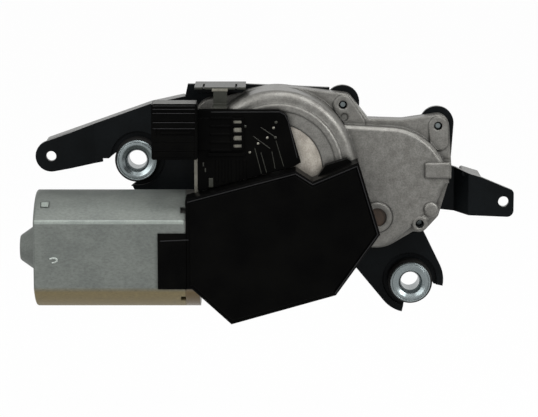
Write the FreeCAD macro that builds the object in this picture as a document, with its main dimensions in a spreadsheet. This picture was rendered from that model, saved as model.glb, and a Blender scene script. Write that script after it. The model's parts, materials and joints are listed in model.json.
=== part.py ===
"""Rear wiper motor: flatted motor can, worm gearbox, linkage, output shaft and mounting bracket.

The origin lies on the output shaft, on the plain journal just past the bearing tube.
X runs to the right along the armature shaft, Z up, and Y out along the output shaft.
Depths are measured from the origin towards the front of the motor, along -Y.
"""
import FreeCAD, Part
import math
import os
import re
import Sketcher

os.makedirs("parts", exist_ok=True)
doc = FreeCAD.newDocument("RearWiperMotor")
sheet = doc.addObject("Spreadsheet::Sheet", "Sizes")

SIZES = {
    # Axes
    "armature_drop": 13.4,
    "wheel_offset": 45.5,
    # Worm and wheel
    "gear_module": 1.25,
    "wheel_teeth": 50,
    "worm_pitch_radius": 6.0,
    "worm_turns": 5,
    "worm_thread_width": 1.5,
    "worm_bore_radius": 4.0,
    "tooth_width": 1.7,
    "pressure_angle": 20,
    "tooth_addendum": 1.0,
    "tooth_dedendum": 1.5,
    "worm_dedendum": 1.25,
    "wheel_width": 10.0,
    "wheel_web_recess": 2.6,
    "wheel_rim": 2.2,
    "wheel_pocket_angle": 100.0,
    "wheel_ribs": 3,
    # Linkage
    "crank_radius": 21.0,
    "park_angle": 22.0,
    "swing_angle": 95.0,
    "pin_radius": 3.0,
    "rod_eye_radius": 5.4,
    "rod_width": 7.0,
    "link_thickness": 4.0,
    "lever_gap": 2.3,
    "layer_gap": 0.7,
    "wheel_gap": 2.0,
    "lever_hub_radius": 9.0,
    # Motor can
    "can_radius": 26.35,
    "can_flat_cut": 4.85,
    "can_wall": 1.6,
    "can_left": 154.2,
    "can_right": 86.4,
    "can_end_round": 1.0,
    "can_crease_round": 2.5,
    "can_spigot": 3.0,
    "can_nose_radius": 10.9,
    "can_nose_tip_radius": 6.0,
    "can_nose_length": 7.6,
    "can_nose_tip_round": 0.6,
    "can_crimp_length": 2.2,
    "can_crimp_width": 3.6,
    "can_dimple_width": 4.0,
    "can_dimple_depth": 0.5,
    # Magnets and armature
    "magnet_length": 44.0,
    "magnet_inset": 8.0,
    "magnet_half_angle": 50.0,
    "air_gap": 0.6,
    "lamination_radius": 17.4,
    "lamination_length": 36.0,
    "lamination_left": 142.0,
    "lamination_slots": 12,
    "slot_width": 2.2,
    "slot_depth": 7.0,
    "slot_mouth": 1.0,
    "end_turn_length": 5.5,
    "end_turn_radius": 15.2,
    "end_turn_round": 1.6,
    "shaft_radius": 4.0,
    "shaft_end_radius": 3.0,
    "shaft_end_right": 24.5,
    "shaft_end_length": 6.0,
    "commutator_radius": 8.0,
    "commutator_length": 12.0,
    "commutator_right": 82.6,
    "commutator_bars": 12,
    "bar_gap": 0.5,
    "bar_gap_depth": 0.9,
    # Brush gear
    "brush_plate_thickness": 2.6,
    "brush_width": 6.0,
    "brush_height": 5.0,
    "brush_length": 7.0,
    "holder_wall": 1.0,
    "holder_length": 9.5,
    "brush_spring_radius": 1.9,
    "brush_spring_wire": 0.5,
    "choke_radius": 2.6,
    "choke_length": 11.0,
    "choke_offset": 13.0,
    "bush_setback": 1.6,
    "retainer_thickness": 0.6,
    "thrust_pad_thickness": 0.95,
    # Gear housing
    "ear_height": 8.7,
    "rod_room": 1.5,
    "wheel_room": 1.5,
    "dome_radius": 35.2,
    "dome_round": 3.6,
    "dome_shoulder": 1.2,
    "dome_ring_radius": 29.6,
    "dome_ring_inner": 26.4,
    "dome_ring_depth": 0.5,
    "dome_ring_round": 0.9,
    "dome_wall": 2.2,
    "dome_recess_radius": 20.5,
    "dome_recess_depth": 1.1,
    "plateau_round": 1.4,
    "side_block_height": 1.2,
    "pip_radius": 3.0,
    "ear_dimple_radius": 1.8,
    "ear_dimple_depth": 0.8,
    "ear_pad_height": 0.7,
    "ear_pad_end": 4.2,
    "plateau_radius": 27.8,
    "plateau_wall": 2.2,
    "output_boss_radius": 15.3,
    "output_ring_radius": 6.8,
    "output_ring_height": 1.4,
    "output_disc_radius": 4.3,
    "ear_screw_radius": 1.9,
    "ear_radius": 5.0,
    "ear_three_radius": 4.2,
    "ear_one_left": 15.6,
    "ear_one_up": 50.7,
    "ear_two_right": 27.7,
    "ear_two_up": 41.0,
    "ear_three_right": 19.6,
    "ear_three_down": 3.8,
    "tunnel_radius": 11.0,
    "tunnel_bore": 8.0,
    "tunnel_right": 17.5,
    "motor_flange_width": 6.4,
    "brush_recess_radius": 20.5,
    "brush_recess_depth": 4.4,
    "worm_end_bush_radius": 6.0,
    "thrust_screw_radius": 4.0,
    "axle_radius": 3.0,
    "axle_boss_radius": 7.0,
    "cavity_clearance": 0.75,
    # Fits
    "running_clearance": 0.03,
    "open_pivot_clearance": 0.12,
    "seat_clearance": 0.3,
    # Bearing in the tunnel
    "bearing_left": 79.4,
    "bearing_width": 5.0,
    "bearing_race": 1.15,
    "bearing_balls": 7,
    # Mounting bracket
    "plate_back": 22.0,
    "plate_thickness": 2.5,
    "gasket_thickness": 0.8,
    "flange_depth": 10.0,
    "flange_thickness": 2.0,
    "left_hole_left": 148.9,
    "left_hole_up": 26.1,
    "left_hole_radius": 2.3,
    "left_pad_radius": 7.2,
    "left_joggle": 3.0,
    "left_joggle_start": 129.0,
    "left_joggle_end": 140.0,
    "right_hole_right": 58.1,
    "right_hole_up": 5.9,
    "right_hole_radius": 2.4,
    "right_joggle": 8.5,
    "right_joggle_start": 37.0,
    "right_joggle_end": 43.0,
    "right_arm_end": 62.8,
    "right_arm_corner": 3.0,
    "lobe_radius": 7.8,
    # Grommets and sleeves
    "upper_grommet_left": 109.4,
    "upper_grommet_up": 24.6,
    "lower_grommet_right": 16.1,
    "lower_grommet_down": 32.2,
    "grommet_radius": 10.2,
    "grommet_groove_radius": 8.1,
    "grommet_lead": 5.3,
    "grommet_length": 12.6,
    "claw_slot_radius": 8.2,
    "claw_radius": 15.6,
    "claw_dish_radius": 13.6,
    "claw_dish_depth": 1.2,
    "upper_slot_angle": 218.0,
    "lower_slot_angle": -57.0,
    "upper_mouth_angle": 38.0,
    "lower_mouth_angle": 46.0,
    "slot_reach": 24.0,
    "sleeve_flange_radius": 9.25,
    "sleeve_flange_thickness": 1.2,
    "sleeve_radius": 5.9,
    "sleeve_bore": 4.25,
    "sleeve_mouth": 1.7,
    "sleeve_length": 15.0,
    # Output shaft and bearing tube
    "output_radius": 6.0,
    "tube_radius": 9.5,
    "tube_bore": 7.6,
    "tube_end": 4.2,
    "tube_flange_thickness": 3.0,
    "tube_rivets": 3,
    "tube_rivet_radius": 1.6,
    "tube_rivet_reach": 4.1,
    "output_bush_length": 6.5,
    "journal_end": 3.0,
    "taper_length": 10.0,
    "taper_end_radius": 4.6,
    "thread_radius": 4.0,
    "thread_length": 12.0,
    "clip_groove_depth": 0.7,
    "clip_groove_width": 1.0,
    "clip_groove_place": 2.2,
    "washer_thickness": 0.8,
    # Electronics cover
    "cover_height": 14.2,
    "cover_wall": 1.5,
    "cover_chamfer": 0.6,
    "cover_step": 0.8,
    "cover_rim": 1.7,
    "cover_tongue_left": 98.7,
    "cover_post_radius": 2.2,
    "board_thickness": 1.6,
    "board_lift": 5.7,
    "board_margin": 2.2,
    # Lead frame carrier and connector
    "carrier_thickness": 3.6,
    "pad_pitch": 3.6,
    "pad_width": 3.2,
    "pad_height": 2.2,
    "pad_thickness": 0.5,
    "pad_right": 61.3,
    "pad_top": 45.8,
    "strip_thickness": 0.4,
    "strip_width": 1.3,
    "strip_cover_thickness": 0.8,
    "strip_cover_right": 65.2,
    "rib_left": 75.3,
    "rib_right": 65.6,
    "rib_width": 1.0,
    "rib_height": 1.3,
    "connector_left": 101.0,
    "connector_right": 80.7,
    "connector_bottom": 30.3,
    "connector_top": 55.2,
    "connector_lift": 0.7,
    "connector_depth": 13.0,
    "connector_chamfer": 0.6,
    "connector_wall": 1.7,
    "connector_floor": 3.2,
    "connector_groove_depth": 0.4,
    "connector_groove_half": 0.3,
    "connector_window_depth": 0.7,
    "connector_window_top": 43.8,
    "connector_window_bottom": 40.7,
    "connector_window_left": 99.0,
    "connector_window_right": 81.5,
    "terminal_size": 0.8,
    "terminal_length": 8.0,
    "terminal_count": 5,
    # Clip and strap
    "clip_left": 82.6,
    "clip_right": 59.6,
    "clip_slit": 78.5,
    "clip_slit_width": 0.9,
    "clip_slit_length": 13.0,
    "clip_top": 60.1,
    "clip_toe": 51.6,
    "clip_thickness": 1.0,
    "clip_length": 21.5,
    "clip_strap_left": 74.1,
    "clip_strap_right": 67.9,
    "ground_strap_left": 82.6,
    "ground_strap_width": 1.5,
    "ground_strap_thickness": 0.8,
    "ground_strap_drop": 0.7,
    "ground_strap_foot": 11.9,
    # Electronics
    "relay_height": 4.2,
    "capacitor_radius": 4.0,
    "capacitor_height": 4.3,
    "controller_height": 1.4,
}

# Depths in front of the origin, each stacked on the one behind it, and two sizes that follow a radius
DEPTHS = {
    "can_flat": "can_radius - can_flat_cut",
    "tube_rivet_circle": "tube_radius + tube_rivet_reach",
    "housing_rim": "plate_back + plate_thickness + gasket_thickness",
    "lever_depth": "housing_rim + lever_gap",
    "rod_depth": "lever_depth + link_thickness + layer_gap",
    "rod_front": "rod_depth + link_thickness",
    "wheel_back": "rod_front + wheel_gap",
    "wheel_front": "wheel_back + wheel_width",
    "armature_depth": "(wheel_back + wheel_front) / 2",
    "ear_front": "housing_rim + ear_height",
    "cavity_front": "rod_front + rod_room",
    "plateau_front": "cavity_front + plateau_wall",
    "dome_front": "wheel_front + wheel_room + dome_wall",
    "cover_back": "dome_front + seat_clearance",
    "cover_front": "cover_back + cover_height",
    "board_depth": "cover_back + board_lift",
    "board_front": "board_depth + board_thickness",
    "carrier_front": "cover_back + carrier_thickness",
    "connector_back": "cover_back + connector_lift",
    "connector_front": "connector_back + connector_depth",
    "plate_front": "plate_back + plate_thickness",
    "grommet_front": "plate_front + grommet_lead",
    "clip_reach": "plate_front + clip_length",
    "ground_strap_front": "cover_back - ground_strap_drop",
}

for row, (name, number) in enumerate(SIZES.items(), start=1):
    sheet.set(f"A{row}", name)
    sheet.set(f"B{row}", str(number))
    sheet.setAlias(f"B{row}", name)
doc.recompute()

FRONT, SIDE, ABOVE = "XZ_Plane", "YZ_Plane", "XY_Plane"
PARTS = {}
ALIAS = re.compile(r"\b[a-z]+(?:_[a-z]+)+\b")

# Derived places, as formulas of the sheet's values
WHEEL_PITCH = "(gear_module * wheel_teeth / 2)"
WHEEL_X = "(-wheel_offset)"
WHEEL_Z = f"({WHEEL_PITCH} + worm_pitch_radius - armature_drop)"

def linked(expression):
    """Return the expression with each depth written out and each alias pointed at the sheet."""
    return ALIAS.sub(lambda found: written_out(found.group()), str(expression))


def written_out(name):
    """Return a depth's formula, a size's cell, or any other word as it is."""
    if name in DEPTHS:
        return f"({linked(DEPTHS[name])})"
    return f"Sizes.{name}" if name in SIZES else name


def value(expression):
    """Return the number that an expression of sheet values gives."""
    return float(sheet.evalExpression(linked(expression)))


def bind(obj, prop, expression):
    """Tie one property to an expression of sheet values."""
    obj.setExpression(prop, linked(expression))


def keep(label, obj):
    """Label an object as one finished sub-part."""
    obj.Label = label
    PARTS[label] = obj
    return obj


def new_body(name, x=0, y=0, z=0, turn=None):
    """Make a body, placed at the given expressions and turned about an axis if asked."""
    body = doc.addObject("PartDesign::Body", name)
    body.AllowCompound = True
    if turn:
        axis, angle = turn
        body.Placement.Rotation = FreeCAD.Rotation(axis, angle)
    bind(body, "Placement.Base.x", x)
    bind(body, "Placement.Base.y", y)
    bind(body, "Placement.Base.z", z)
    return body


def new_sketch(body, name, plane, level):
    """Attach a sketch to one of the body's origin planes, moved along the plane's normal."""
    sketch = body.newObject("Sketcher::SketchObject", name)
    support = next(item for item in body.Origin.OriginFeatures if item.Role == plane)
    sketch.AttachmentSupport = [(support, "")]
    sketch.MapMode = "FlatFace"
    bind(sketch, "AttachmentOffset.Base.z", level)
    return sketch


def fix_point(sketch, geometry, position, x, y):
    """Hold one sketch point at the given expressions."""
    for kind, expression in (("DistanceX", x), ("DistanceY", y)):
        number = value(expression)
        index = sketch.addConstraint(Sketcher.Constraint(kind, -1, 1, geometry, position, number))
        if isinstance(expression, str):
            sketch.setExpression(f"Constraints[{index}]", linked(expression))


def fix_radius(sketch, geometry, radius):
    """Hold one circle or arc at the given radius."""
    index = sketch.addConstraint(Sketcher.Constraint("Radius", geometry, value(radius)))
    if isinstance(radius, str):
        sketch.setExpression(f"Constraints[{index}]", linked(radius))


def draw_polygon(sketch, points):
    """Draw a closed polygon through points given as expression pairs."""
    places = [FreeCAD.Vector(value(x), value(y), 0) for x, y in points]
    first = sketch.GeometryCount
    for index, start in enumerate(places):
        sketch.addGeometry(Part.LineSegment(start, places[(index + 1) % len(places)]))
    for index, (x, y) in enumerate(points):
        before = first + (index - 1) % len(points)
        sketch.addConstraint(Sketcher.Constraint("Coincident", before, 2, first + index, 1))
        fix_point(sketch, first + index, 1, x, y)


def draw_circle(sketch, x, y, radius):
    """Draw one circle with its centre and radius given as expressions."""
    centre = FreeCAD.Vector(value(x), value(y), 0)
    index = sketch.addGeometry(Part.Circle(centre, FreeCAD.Vector(0, 0, 1), value(radius)))
    fix_point(sketch, index, 3, x, y)
    fix_radius(sketch, index, radius)


def draw_hull(sketch, circles):
    """Draw the tangent outline round circles that are listed counter-clockwise."""
    data = [(value(x), value(y), value(r)) for x, y, r in circles]
    count = len(data)
    normals = []
    for index, (x0, y0, r0) in enumerate(data):
        x1, y1, r1 = data[(index + 1) % count]
        span = math.hypot(x1 - x0, y1 - y0)
        normals.append(math.atan2(y1 - y0, x1 - x0) - math.pi / 2 + math.asin((r1 - r0) / span) * -1)
    first = sketch.GeometryCount
    for index, (x0, y0, r0) in enumerate(data):
        x1, y1, r1 = data[(index + 1) % count]
        start = normals[index - 1]
        end = normals[index]
        while end < start:
            end += 2 * math.pi
        circle = Part.Circle(FreeCAD.Vector(x0, y0, 0), FreeCAD.Vector(0, 0, 1), r0)
        sketch.addGeometry(Part.ArcOfCircle(circle, start, end))
        leave = FreeCAD.Vector(x0 + r0 * math.cos(end), y0 + r0 * math.sin(end), 0)
        reach = FreeCAD.Vector(x1 + r1 * math.cos(end), y1 + r1 * math.sin(end), 0)
        sketch.addGeometry(Part.LineSegment(leave, reach))
    for index, (x, y, radius) in enumerate(circles):
        arc = first + 2 * index
        line = arc + 1
        following = first + 2 * ((index + 1) % count)
        fix_point(sketch, arc, 3, x, y)
        fix_radius(sketch, arc, radius)
        sketch.addConstraint(Sketcher.Constraint("Tangent", arc, 2, line, 1))
        sketch.addConstraint(Sketcher.Constraint("Tangent", line, 2, following, 1))


def draw_flatted(sketch, x, y, radius, flat):
    """Draw a circle cut by two upright flats at the given distance from its centre."""
    cx, cy, r, half = value(x), value(y), value(radius), value(flat)
    rise = math.sqrt(r * r - half * half)
    corner = math.atan2(rise, half)
    circle = Part.Circle(FreeCAD.Vector(cx, cy, 0), FreeCAD.Vector(0, 0, 1), r)
    top = sketch.addGeometry(Part.ArcOfCircle(circle, corner, math.pi - corner))
    low = sketch.addGeometry(Part.ArcOfCircle(circle, math.pi + corner, 2 * math.pi - corner))
    left = sketch.addGeometry(Part.LineSegment(FreeCAD.Vector(cx - half, cy + rise, 0),
                                               FreeCAD.Vector(cx - half, cy - rise, 0)))
    right = sketch.addGeometry(Part.LineSegment(FreeCAD.Vector(cx + half, cy - rise, 0),
                                                FreeCAD.Vector(cx + half, cy + rise, 0)))
    for first, first_end, second, second_end in ((top, 2, left, 1), (left, 2, low, 1),
                                                 (low, 2, right, 1), (right, 2, top, 1)):
        sketch.addConstraint(Sketcher.Constraint("Coincident", first, first_end, second, second_end))
    sketch.addConstraint(Sketcher.Constraint("Coincident", top, 3, low, 3))
    sketch.addConstraint(Sketcher.Constraint("Vertical", left))
    sketch.addConstraint(Sketcher.Constraint("Vertical", right))
    fix_point(sketch, top, 3, x, y)
    fix_radius(sketch, top, radius)
    fix_radius(sketch, low, radius)
    for line, side in ((left, f"({x}) - ({flat})"), (right, f"({x}) + ({flat})")):
        index = sketch.addConstraint(Sketcher.Constraint("DistanceX", -1, 1, line, 1, value(side)))
        sketch.setExpression(f"Constraints[{index}]", linked(side))


def draw_sector(sketch, x, y, inner, outer, start, end):
    """Draw a ring sector, or a pie slice where the inner radius is zero, between two angles."""
    cx, cy, r0, r1 = value(x), value(y), value(inner), value(outer)
    a0, a1 = math.radians(value(start)), math.radians(value(end))

    def at(radius, angle):
        return FreeCAD.Vector(cx + radius * math.cos(angle), cy + radius * math.sin(angle), 0)

    normal = FreeCAD.Vector(0, 0, 1)
    centre = FreeCAD.Vector(cx, cy, 0)
    outer_arc = sketch.addGeometry(Part.ArcOfCircle(Part.Circle(centre, normal, r1), a0, a1))
    side = sketch.addGeometry(Part.LineSegment(at(r1, a1), at(r0, a1)))
    back = sketch.addGeometry(Part.LineSegment(at(r0, a0), at(r1, a0)))
    sketch.addConstraint(Sketcher.Constraint("Coincident", outer_arc, 2, side, 1))
    sketch.addConstraint(Sketcher.Constraint("Coincident", back, 2, outer_arc, 1))
    if r0 > 0:
        inner_arc = sketch.addGeometry(Part.ArcOfCircle(Part.Circle(centre, normal, r0), a0, a1))
        sketch.addConstraint(Sketcher.Constraint("Coincident", side, 2, inner_arc, 2))
        sketch.addConstraint(Sketcher.Constraint("Coincident", inner_arc, 1, back, 1))
        sketch.addConstraint(Sketcher.Constraint("Block", inner_arc))
    else:
        sketch.addConstraint(Sketcher.Constraint("Coincident", side, 2, back, 1))
    sketch.addConstraint(Sketcher.Constraint("Block", outer_arc))


DRAW = {"polygon": draw_polygon, "circle": draw_circle, "hull": draw_hull,
        "flatted": draw_flatted, "sector": draw_sector}


def solid_step(body, feature_type, plane, shape, start, end):
    """Add or cut one straight step between two levels of a plane's normal."""
    kind, *details = shape
    number = sum(1 for item in body.Group if item.TypeId.startswith("PartDesign"))
    sketch = new_sketch(body, f"{body.Name}Sketch{number}", plane, start)
    DRAW[kind](sketch, *details)
    feature = body.newObject(feature_type, f"{body.Name}Step{number}")
    feature.Profile = sketch
    feature.Reversed = feature_type == "PartDesign::Pocket"
    bind(feature, "Length", f"({end}) - ({start})")
    body.Tip = feature
    return feature


def pad(body, plane, shape, start, end):
    """Add material over a shape between two levels."""
    return solid_step(body, "PartDesign::Pad", plane, shape, start, end)


def pocket(body, plane, shape, start, end):
    """Cut a shape away between two levels."""
    return solid_step(body, "PartDesign::Pocket", plane, shape, start, end)


def revolve(body, points, groove=False):
    """Turn a profile of (radius, along) pairs about the body's own Y axis."""
    feature_type = "PartDesign::Groove" if groove else "PartDesign::Revolution"
    number = sum(1 for item in body.Group if item.TypeId.startswith("PartDesign"))
    sketch = new_sketch(body, f"{body.Name}Profile{number}", ABOVE, 0)
    draw_polygon(sketch, points)
    feature = body.newObject(feature_type, f"{body.Name}Turn{number}")
    feature.Profile = sketch
    feature.ReferenceAxis = (sketch, ["V_Axis"])
    feature.Angle = 360
    body.Tip = feature
    return feature


def pattern_about_axis(body, feature, axis_role, count):
    """Repeat a feature round one of the body's own axes."""
    axis = next(item for item in body.Origin.OriginFeatures if item.Role == axis_role)
    pattern = body.newObject("PartDesign::PolarPattern", f"{body.Name}Pattern")
    pattern.Originals = [feature]
    pattern.Axis = (axis, [""])
    pattern.Angle = 360
    bind(pattern, "Occurrences", count)
    body.Tip = pattern
    return pattern


def dress(body, feature_type, prop, size, wanted):
    """Round or chamfer the edges of the body's tip that the test picks."""
    doc.recompute()
    base = body.Tip
    names = [f"Edge{index + 1}" for index, edge in enumerate(base.Shape.Edges) if wanted(edge)]
    number = sum(1 for item in body.Group if item.TypeId.startswith("PartDesign"))
    feature = body.newObject(feature_type, f"{body.Name}Dress{number}")
    feature.Base = (base, names)
    bind(feature, prop, size)
    body.Tip = feature
    return feature


def fillet(body, radius, wanted):
    """Round the picked edges."""
    return dress(body, "PartDesign::Fillet", "Radius", radius, wanted)


def chamfer(body, size, wanted):
    """Chamfer the picked edges."""
    return dress(body, "PartDesign::Chamfer", "Size", size, wanted)


ALONG_X = (FreeCAD.Vector(0, 0, 1), -90)


def turned(label, points, x=0, y=0, z=0, along="Y"):
    """Make a turned piece whose axis lies along Y, or along X on the armature's axis."""
    body = new_body(label.title().replace("_", ""), x, y, z, ALONG_X if along == "X" else None)
    revolve(body, points)
    return body


def ring_profile(inner, outer, low, high):
    """Return the profile of a plain ring or tube."""
    return [(inner, low), (outer, low), (outer, high), (inner, high)]


def armature_turned(label, points):
    """Make a piece turned about the armature's axis; the profile's second value is X."""
    return turned(label, points, 0, "-armature_depth", "-armature_drop", "X")


def block(name, x, y, z):
    """Make a box between (low, high) pairs of expressions along each axis."""
    box = doc.addObject("Part::Box", name)
    for axis, prop, (low, high) in zip("xyz", ("Length", "Width", "Height"), (x, y, z)):
        bind(box, prop, f"({high}) - ({low})")
        bind(box, f"Placement.Base.{axis}", low)
    return box


def group(label, members):
    """Gather separate solids in one compound."""
    compound = doc.addObject("Part::Compound", label.title().replace("_", "") + "Set")
    compound.Links = members
    return keep(label, compound)


def fuse(name, members):
    """Fuse shapes into one piece."""
    joined = doc.addObject("Part::MultiFuse", name)
    joined.Shapes = members
    joined.Refine = True
    return joined


def cut(name, base, tool):
    """Cut one shape from another."""
    result = doc.addObject("Part::Cut", name)
    result.Base = base
    result.Tool = tool
    result.Refine = True
    return result


def common(name, first, second):
    """Keep what two shapes share."""
    result = doc.addObject("Part::MultiCommon", name)
    result.Shapes = [first, second]
    return result


def inset(points, distance):
    """Return a polygon moved inwards by a distance; the points run clockwise."""
    numbers = [(value(x), value(y)) for x, y in points]
    moved = []
    for index, here in enumerate(numbers):
        before = numbers[index - 1]
        after = numbers[(index + 1) % len(numbers)]
        first = math.atan2(here[1] - before[1], here[0] - before[0]) - math.pi / 2
        second = math.atan2(after[1] - here[1], after[0] - here[0]) - math.pi / 2
        half = (second - first) / 2
        reach = distance / math.cos(half)
        moved.append((here[0] + reach * math.cos(first + half), here[1] + reach * math.sin(first + half)))
    return moved


def polar(x, z, radius, angle):
    """Return a place at a radius and angle in degrees from a centre, as expressions."""
    return f"({x}) + ({radius}) * cos({angle})", f"({z}) + ({radius}) * sin({angle})"


# Motor

CAN_SECTION = ("-armature_depth", "-armature_drop")
CRIMP_ANGLES = (50, 130, 230, 310)
DIMPLE_ANGLE = 122.5


def make_motor_can():
    """Draw the can: a tube with two flats, closed by an end wall with a bearing nose."""
    body = new_body("MotorCan")
    pad(body, SIDE, ("flatted", *CAN_SECTION, "can_radius", "can_flat"), "-can_left", "-can_right")
    fillet(body, "can_crease_round", lambda edge: edge.BoundBox.XLength > 1)
    fillet(body, "can_end_round", lambda edge: edge.BoundBox.XMax < -value("can_left") + 0.01)
    tip = "-can_left - can_nose_length"
    nose = [(0, tip), ("can_nose_tip_radius - can_nose_tip_round", tip),
            ("can_nose_tip_radius", f"{tip} + can_nose_tip_round"), ("can_nose_radius", "-can_left"),
            ("can_nose_radius", "-can_left + can_wall"), (0, "-can_left + can_wall")]
    add_nose(body, nose)
    pocket(body, SIDE, ("flatted", *CAN_SECTION, "can_radius - can_wall", "can_flat - can_wall"),
           "-can_left + can_wall", "-can_right")
    hollow = [(0, f"{tip} + can_wall"), ("can_nose_tip_radius", f"{tip} + can_wall"),
              ("can_nose_tip_radius", "-can_left + can_wall"), (0, "-can_left + can_wall")]
    add_nose(body, hollow, True)
    for angle in CRIMP_ANGLES:
        dent(body, angle, "can_crimp_width", "can_wall + 1",
             "-can_right - can_crimp_length", "-can_right + 1")
    left = "-can_left + can_end_round + 2"
    dent(body, DIMPLE_ANGLE, "can_dimple_width", "can_dimple_depth", left, f"{left} + can_dimple_width")
    keep("motor_can", body)


def dent(body, angle, width, depth, left, right):
    """Cut a square-sided notch or dimple into the can at an angle round its axis."""
    turn = math.radians(angle)
    low, high = value(f"can_radius - ({depth})"), value("can_radius") + 1
    half = value(width) / 2
    corners = [(low, -half), (high, -half), (high, half), (low, half)]
    places = [(r * math.cos(turn) - s * math.sin(turn) - value("armature_depth"),
               r * math.sin(turn) + s * math.cos(turn) - value("armature_drop")) for r, s in corners]
    pocket(body, SIDE, ("polygon", places), left, right)


def add_nose(body, points, groove=False):
    """Turn a profile of (radius, X) pairs about the armature's axis within an unturned body."""
    number = sum(1 for item in body.Group if item.TypeId.startswith("PartDesign"))
    sketch = new_sketch(body, f"{body.Name}Nose{number}", ABOVE, "-armature_drop")
    draw_polygon(sketch, [(x, f"({radius}) - armature_depth") for radius, x in points])
    axis = sketch.addGeometry(Part.LineSegment(FreeCAD.Vector(0, -value("armature_depth"), 0),
                                               FreeCAD.Vector(1, -value("armature_depth"), 0)), True)
    sketch.addConstraint(Sketcher.Constraint("Block", axis))
    feature_type = "PartDesign::Groove" if groove else "PartDesign::Revolution"
    feature = body.newObject(feature_type, f"{body.Name}NoseTurn{number}")
    feature.Profile = sketch
    feature.ReferenceAxis = (sketch, ["Axis0"])
    feature.Angle = 360
    body.Tip = feature
    return feature


def make_magnets():
    """Make the two field magnets that line the top and bottom of the can."""
    right = "-can_right - magnet_inset"
    inner = "lamination_radius + air_gap"
    body = new_body("FieldMagnets")
    for middle in (90, 270):
        shape = ("sector", *CAN_SECTION, inner, "can_radius - can_wall",
                 f"{middle} - magnet_half_angle", f"{middle} + magnet_half_angle")
        pad(body, SIDE, shape, f"{right} - magnet_length", right)
    keep("field_magnets", body)


def make_armature():
    """Make the shaft, laminations, windings and commutator that turn together."""
    end = "-shaft_end_right"
    shaft = [(0, "-can_left - can_nose_length + can_wall + 1"),
             ("shaft_radius", "-can_left - can_nose_length + can_wall + 1"),
             ("shaft_radius", f"{end} - shaft_end_length"), ("shaft_end_radius", f"{end} - shaft_end_length"),
             ("shaft_end_radius", end), (0, end)]
    keep("armature_shaft", armature_turned("armature_shaft", shaft))
    stack_right = "-lamination_left + lamination_length"
    stack = new_body("LaminationStack", 0, "-armature_depth", "-armature_drop")
    pad(stack, SIDE, ("circle", 0, 0, "lamination_radius"), "-lamination_left", stack_right)
    pocket(stack, SIDE, ("circle", 0, 0, "shaft_radius"), "-lamination_left", stack_right)
    slot_foot = "lamination_radius - slot_depth"
    profile = [("-slot_width / 2", slot_foot), ("slot_width / 2", slot_foot),
               ("slot_width", "lamination_radius - slot_mouth"),
               ("slot_mouth / 2", "lamination_radius - slot_mouth / 2"),
               ("slot_mouth / 2", "lamination_radius + 1"),
               ("-slot_mouth / 2", "lamination_radius + 1"),
               ("-slot_mouth / 2", "lamination_radius - slot_mouth / 2"),
               ("-slot_width", "lamination_radius - slot_mouth")]
    slot = pocket(stack, SIDE, ("polygon", profile), "-lamination_left", stack_right)
    pattern_about_axis(stack, slot, "X_Axis", "lamination_slots")
    keep("lamination_stack", stack)
    turns = []
    for low, high in (("-lamination_left - end_turn_length", "-lamination_left"),
                      (stack_right, f"{stack_right} + end_turn_length")):
        flank = "end_turn_radius - end_turn_round"
        profile = [("shaft_radius", low), (flank, low), ("end_turn_radius", f"{low} + end_turn_round"),
                   ("end_turn_radius", f"{high} - end_turn_round"), (flank, high), ("shaft_radius", high)]
        turns.append(armature_turned(f"end_turns_{len(turns) + 1}", profile))
    group("armature_windings", turns)
    commutator = new_body("Commutator", 0, "-armature_depth", "-armature_drop")
    left = "-commutator_right - commutator_length"
    pad(commutator, SIDE, ("circle", 0, 0, "commutator_radius"), left, "-commutator_right")
    pocket(commutator, SIDE, ("circle", 0, 0, "shaft_radius"), left, "-commutator_right")
    foot, rim, half = "commutator_radius - bar_gap_depth", "commutator_radius + 1", "bar_gap / 2"
    gap = [(f"-{half}", foot), (half, foot), (half, rim), (f"-{half}", rim)]
    groove = pocket(commutator, SIDE, ("polygon", gap), left, "-commutator_right")
    pattern_about_axis(commutator, groove, "X_Axis", "commutator_bars")
    keep("commutator", commutator)


def make_worm():
    """Make the single-start worm: a core with a helical thread swept round it."""
    pitch = value("gear_module") * math.pi
    turns = value("worm_turns")
    lift = value("worm_pitch_radius")
    root = lift - value("worm_dedendum")
    tip = lift + value("tooth_addendum")
    slope = math.tan(math.radians(value("pressure_angle")))
    half_root = value("worm_thread_width") / 2 + value("worm_dedendum") * slope
    half_tip = value("worm_thread_width") / 2 - value("tooth_addendum") * slope
    sink = 0.3
    helix = Part.makeHelix(pitch, pitch * turns, root)
    start = [FreeCAD.Vector(root - sink, 0, -half_root), FreeCAD.Vector(tip, 0, -half_tip),
             FreeCAD.Vector(tip, 0, half_tip), FreeCAD.Vector(root - sink, 0, half_root)]
    profile = Part.makePolygon(start + start[:1])
    sweep = Part.Wire(helix.Edges).makePipeShell([profile], True, True)
    core_length = pitch * turns + 3 * value("worm_thread_width")
    core = Part.makeCylinder(root, core_length, FreeCAD.Vector(0, 0, (pitch * turns - core_length) / 2))
    bore = Part.makeCylinder(value("worm_bore_radius"), core_length,
                             FreeCAD.Vector(0, 0, (pitch * turns - core_length) / 2))
    worm = core.fuse(sweep).cut(bore)
    feature = doc.addObject("Part::Feature", "Worm")
    feature.Shape = worm
    along_x = FreeCAD.Rotation(FreeCAD.Vector(0, 1, 0), 90)
    half_turns = 180 * (turns % 2)
    spin = FreeCAD.Rotation(FreeCAD.Vector(1, 0, 0), 180 + half_turns)
    place = FreeCAD.Vector(value(WHEEL_X), -value("armature_depth"), -value("armature_drop"))
    centred = FreeCAD.Placement(FreeCAD.Vector(0, 0, -pitch * turns / 2), FreeCAD.Rotation())
    feature.Placement = FreeCAD.Placement(place, spin.multiply(along_x)).multiply(centred)
    keep("worm", feature)


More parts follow.
